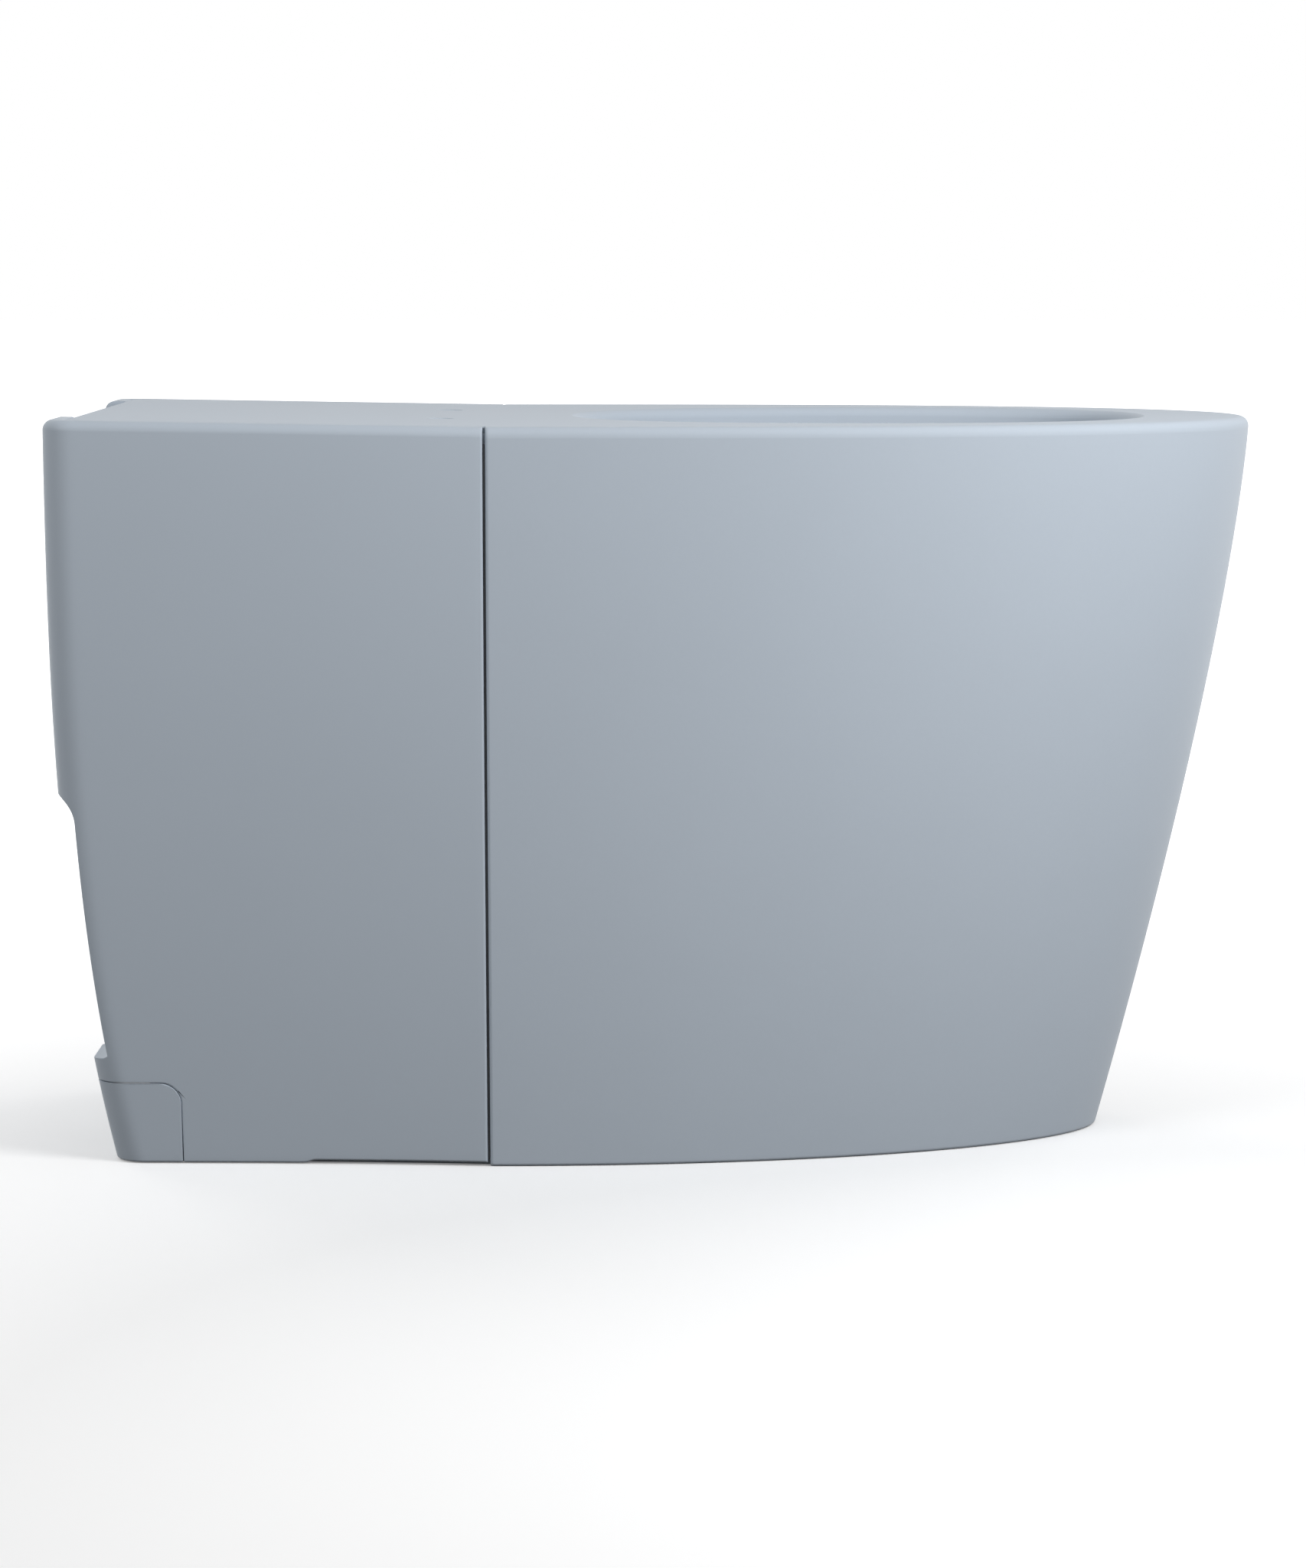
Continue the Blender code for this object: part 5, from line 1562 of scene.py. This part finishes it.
def cover_rows(depth):
    """(height at x, inset, setback, edge) up the cover. Edge says how far the free edge is rounded off."""
    outward, rounding = free_edge(depth)
    rows = []
    for distance, drop in EDGE_SHARES:
        edge = rounding * drop
        up = rounding * distance
        rows.append((lambda x, up=up: cover_bottom(x) + up, depth + outward * edge, 0, edge))
    notch = notch_steps(depth)
    for row in range(LOW_ROWS):
        share = row / LOW_ROWS
        rows.append((lambda x, s=share: mix(cover_bottom(x) + rounding, notch[0][1], s), depth, 0, 0))
    rows += [(level(height), depth, setback, 0) for setback, height in notch]
    fillet_radius = TOP_FILLET - depth * FILLET_PER_WALL
    shoulder_z = RIM_HEIGHT - depth - fillet_radius
    for row in range(1, HIGH_ROWS + 1):
        rows.append((with_deck(mix(NOTCH_TOP + depth, shoulder_z, row / HIGH_ROWS)), depth, 0, 0))
    for angle in quarter(CORNER_STEPS)[1:]:
        z = shoulder_z + fillet_radius * sin(angle)
        rows.append((with_deck(z), depth + fillet_radius * (1 - cos(angle)), 0, 0))
    top = RIM_HEIGHT - depth
    for row in range(1, LIP_ROWS + 1):
        inset = mix(depth + fillet_radius, LIP_REACH - rounding, row / LIP_ROWS)
        rows.append((with_deck(top), inset, 0, 0))
    for distance, drop in reversed(EDGE_SHARES):
        edge = rounding * drop
        rows.append((with_deck(top - outward * edge), LIP_REACH - rounding * distance, 0, edge))
    return rows


def cover_row(depth, height_at, inset, setback, edge):
    """One row from the seam, along the side, round the rear corner and along the return behind."""
    outward, rounding = free_edge(depth)
    start_x = SEAM_X - SEAM_GAP
    end_x = REAR_X + STRAIGHT_FROM_REAR
    ends = [(distance, max(rounding * drop - edge, 0) * outward) for distance, drop in EDGE_SHARES]
    side = [(start_x - rounding * distance, off) for distance, off in ends]
    side += [(mix(start_x - rounding, end_x, step / STRAIGHT_STEPS), 0) for step in range(STRAIGHT_STEPS)]
    points = [Vector((x, side_y(x, height_at(x)) - inset - off, height_at(x))) for x, off in side]
    points += rear_half(height_at, inset, end_x, setback, BEND_SIDE_STEPS)
    corner = points[-1]
    end_y = side_y(corner.x, corner.z) - REAR_CORNER_RADIUS - REAR_RETURN
    for step in range(1, RETURN_STEPS + 1):
        y = mix(corner.y, end_y + rounding, step / RETURN_STEPS)
        points.append(Vector((corner.x, y, corner.z)))
    for distance, off in reversed(ends):
        points.append(Vector((corner.x + off, end_y + rounding * distance, corner.z)))
    return points


def cover_shell(side):
    """A closed wall between the outer and the inner grid, with rounded free edges."""
    grids = []
    for depth in (0, COVER_WALL):
        rows = [cover_row(depth, *row) for row in cover_rows(depth)]
        grids.append(rows if side > 0 else [mirrored(row) for row in rows])
    bm = bmesh.new()
    outer, inner = [[[bm.verts.new(point) for point in row] for row in rows] for rows in grids]
    last_r = len(outer) - 1
    last_c = len(outer[0]) - 1
    for r in range(last_r):
        for c in range(last_c):
            for grid in (outer, inner):
                bm.faces.new((grid[r][c], grid[r][c + 1], grid[r + 1][c + 1], grid[r + 1][c]))
        for c in (0, last_c):
            bm.faces.new((outer[r][c], outer[r + 1][c], inner[r + 1][c], inner[r][c]))
    for c in range(last_c):
        for r in (0, last_r):
            bm.faces.new((outer[r][c], outer[r][c + 1], inner[r][c + 1], inner[r][c]))
    return bm


def corner_window(side, gap):
    """A block through the cover's wall with one rounded corner, for the corner cover's place."""
    front = REAR_X + CORNER_COVER_LENGTH - gap
    top = CORNER_COVER_HEIGHT - gap
    outline = [(front, -CUT_OVERRUN)]
    for angle in quarter(CORNER_STEPS):
        x = front - CORNER_COVER_ROUND * (1 - cos(angle))
        outline.append((x, top - CORNER_COVER_ROUND * (1 - sin(angle))))
    outline += [(REAR_X - CUT_OVERRUN, top), (REAR_X - CUT_OVERRUN, -CUT_OVERRUN)]
    near = side_y(REAR_X, 0) - REAR_CORNER_RADIUS - REAR_RETURN - CUT_OVERRUN
    far = OVERALL_WIDTH / 2 + CUT_OVERRUN
    return lofted([[Vector((x, side * y, z)) for x, z in outline] for y in (near, far)])


def pin(radius, tip, root, tip_round):
    """A round pin from the height of its rounded tip to that of its root."""
    return rod(rounded_path([(radius / 3, tip, 0), (radius, tip, tip_round), (radius, root, 0)]))


def cover_studs(side):
    """Round studs from the middle of the cover's wall into the cups."""
    bodies = []
    for x, z, y in clip_places():
        root = side_y(x, z) - COVER_WALL / 2 - y
        stud = pin(STUD_DIAMETER / 2, CUP_HEIGHT - STUD_GRIP, root, STUD_TIP_ROUND)
        bodies.append(moved(stud, along_y(x, y, z, side)))
    return joined(bodies)


def softened(obj, radius):
    """Rounds the edges that a cut has left sharp."""
    modifier = obj.modifiers.new("edges", "BEVEL")
    modifier.width = radius
    modifier.segments = WINDOW_EDGE_SEGMENTS
    modifier.limit_method = "ANGLE"
    modifier.angle_limit = WINDOW_EDGE_ANGLE
    modifier.use_clamp_overlap = False
    plain(obj)


def make_covers(kind, operation, gap, grips):
    """Both sides' covers: cut at the window's outline, with softened edges and what holds them."""
    for side_name, side in SIDES:
        cover = to_object(f"{kind}_shell_{side_name}", cover_shell(side), cover_plastic)
        cut_and_joined(cover, cover_plastic, [(operation, "window", corner_window(side, gap))])
        softened(cover, WINDOW_EDGE_RADIUS)
        cut_and_joined(cover, cover_plastic, [("UNION", "grips", grips(side))])
        settled(cover, f"{kind}_{side_name}", "cover_plastic", f"{kind}_{side_name}")


cover_plastic = moulded("cover_plastic", PLASTIC_COLOUR, PLASTIC_ROUGHNESS, PLASTIC_GLOSS, PLASTIC_GRAIN)
make_covers("side_cover", "DIFFERENCE", 0, cover_studs)

# Corner covers. Small mouldings of the same plastic that close the windows at the rear corners, over the
# supply pipe's way out. Two pegs push into holes in the edge of the china's foot.

CORNER_COVER_GAP = 0.0005
PEG_DIAMETER = 0.005
PEG_TIP_ROUND = 0.001
PEG_DEPTH = 0.0094


def corner_pegs(side):
    """Pegs from the middle of the corner cover's wall into the foot."""
    root = FOOT_INSET - COVER_WALL / 2
    places = [along_y(x, y, FOOT_THICKNESS / 2, side) for x, y in peg_places()]
    return joined([moved(pin(PEG_DIAMETER / 2, -PEG_DEPTH, root, PEG_TIP_ROUND), place) for place in places])


make_covers("corner_cover", "INTERSECT", CORNER_COVER_GAP, corner_pegs)

size = {"cad": cad_bounds, "visual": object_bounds()}
size = {name: [list(corner) for corner in box] for name, box in size.items()}
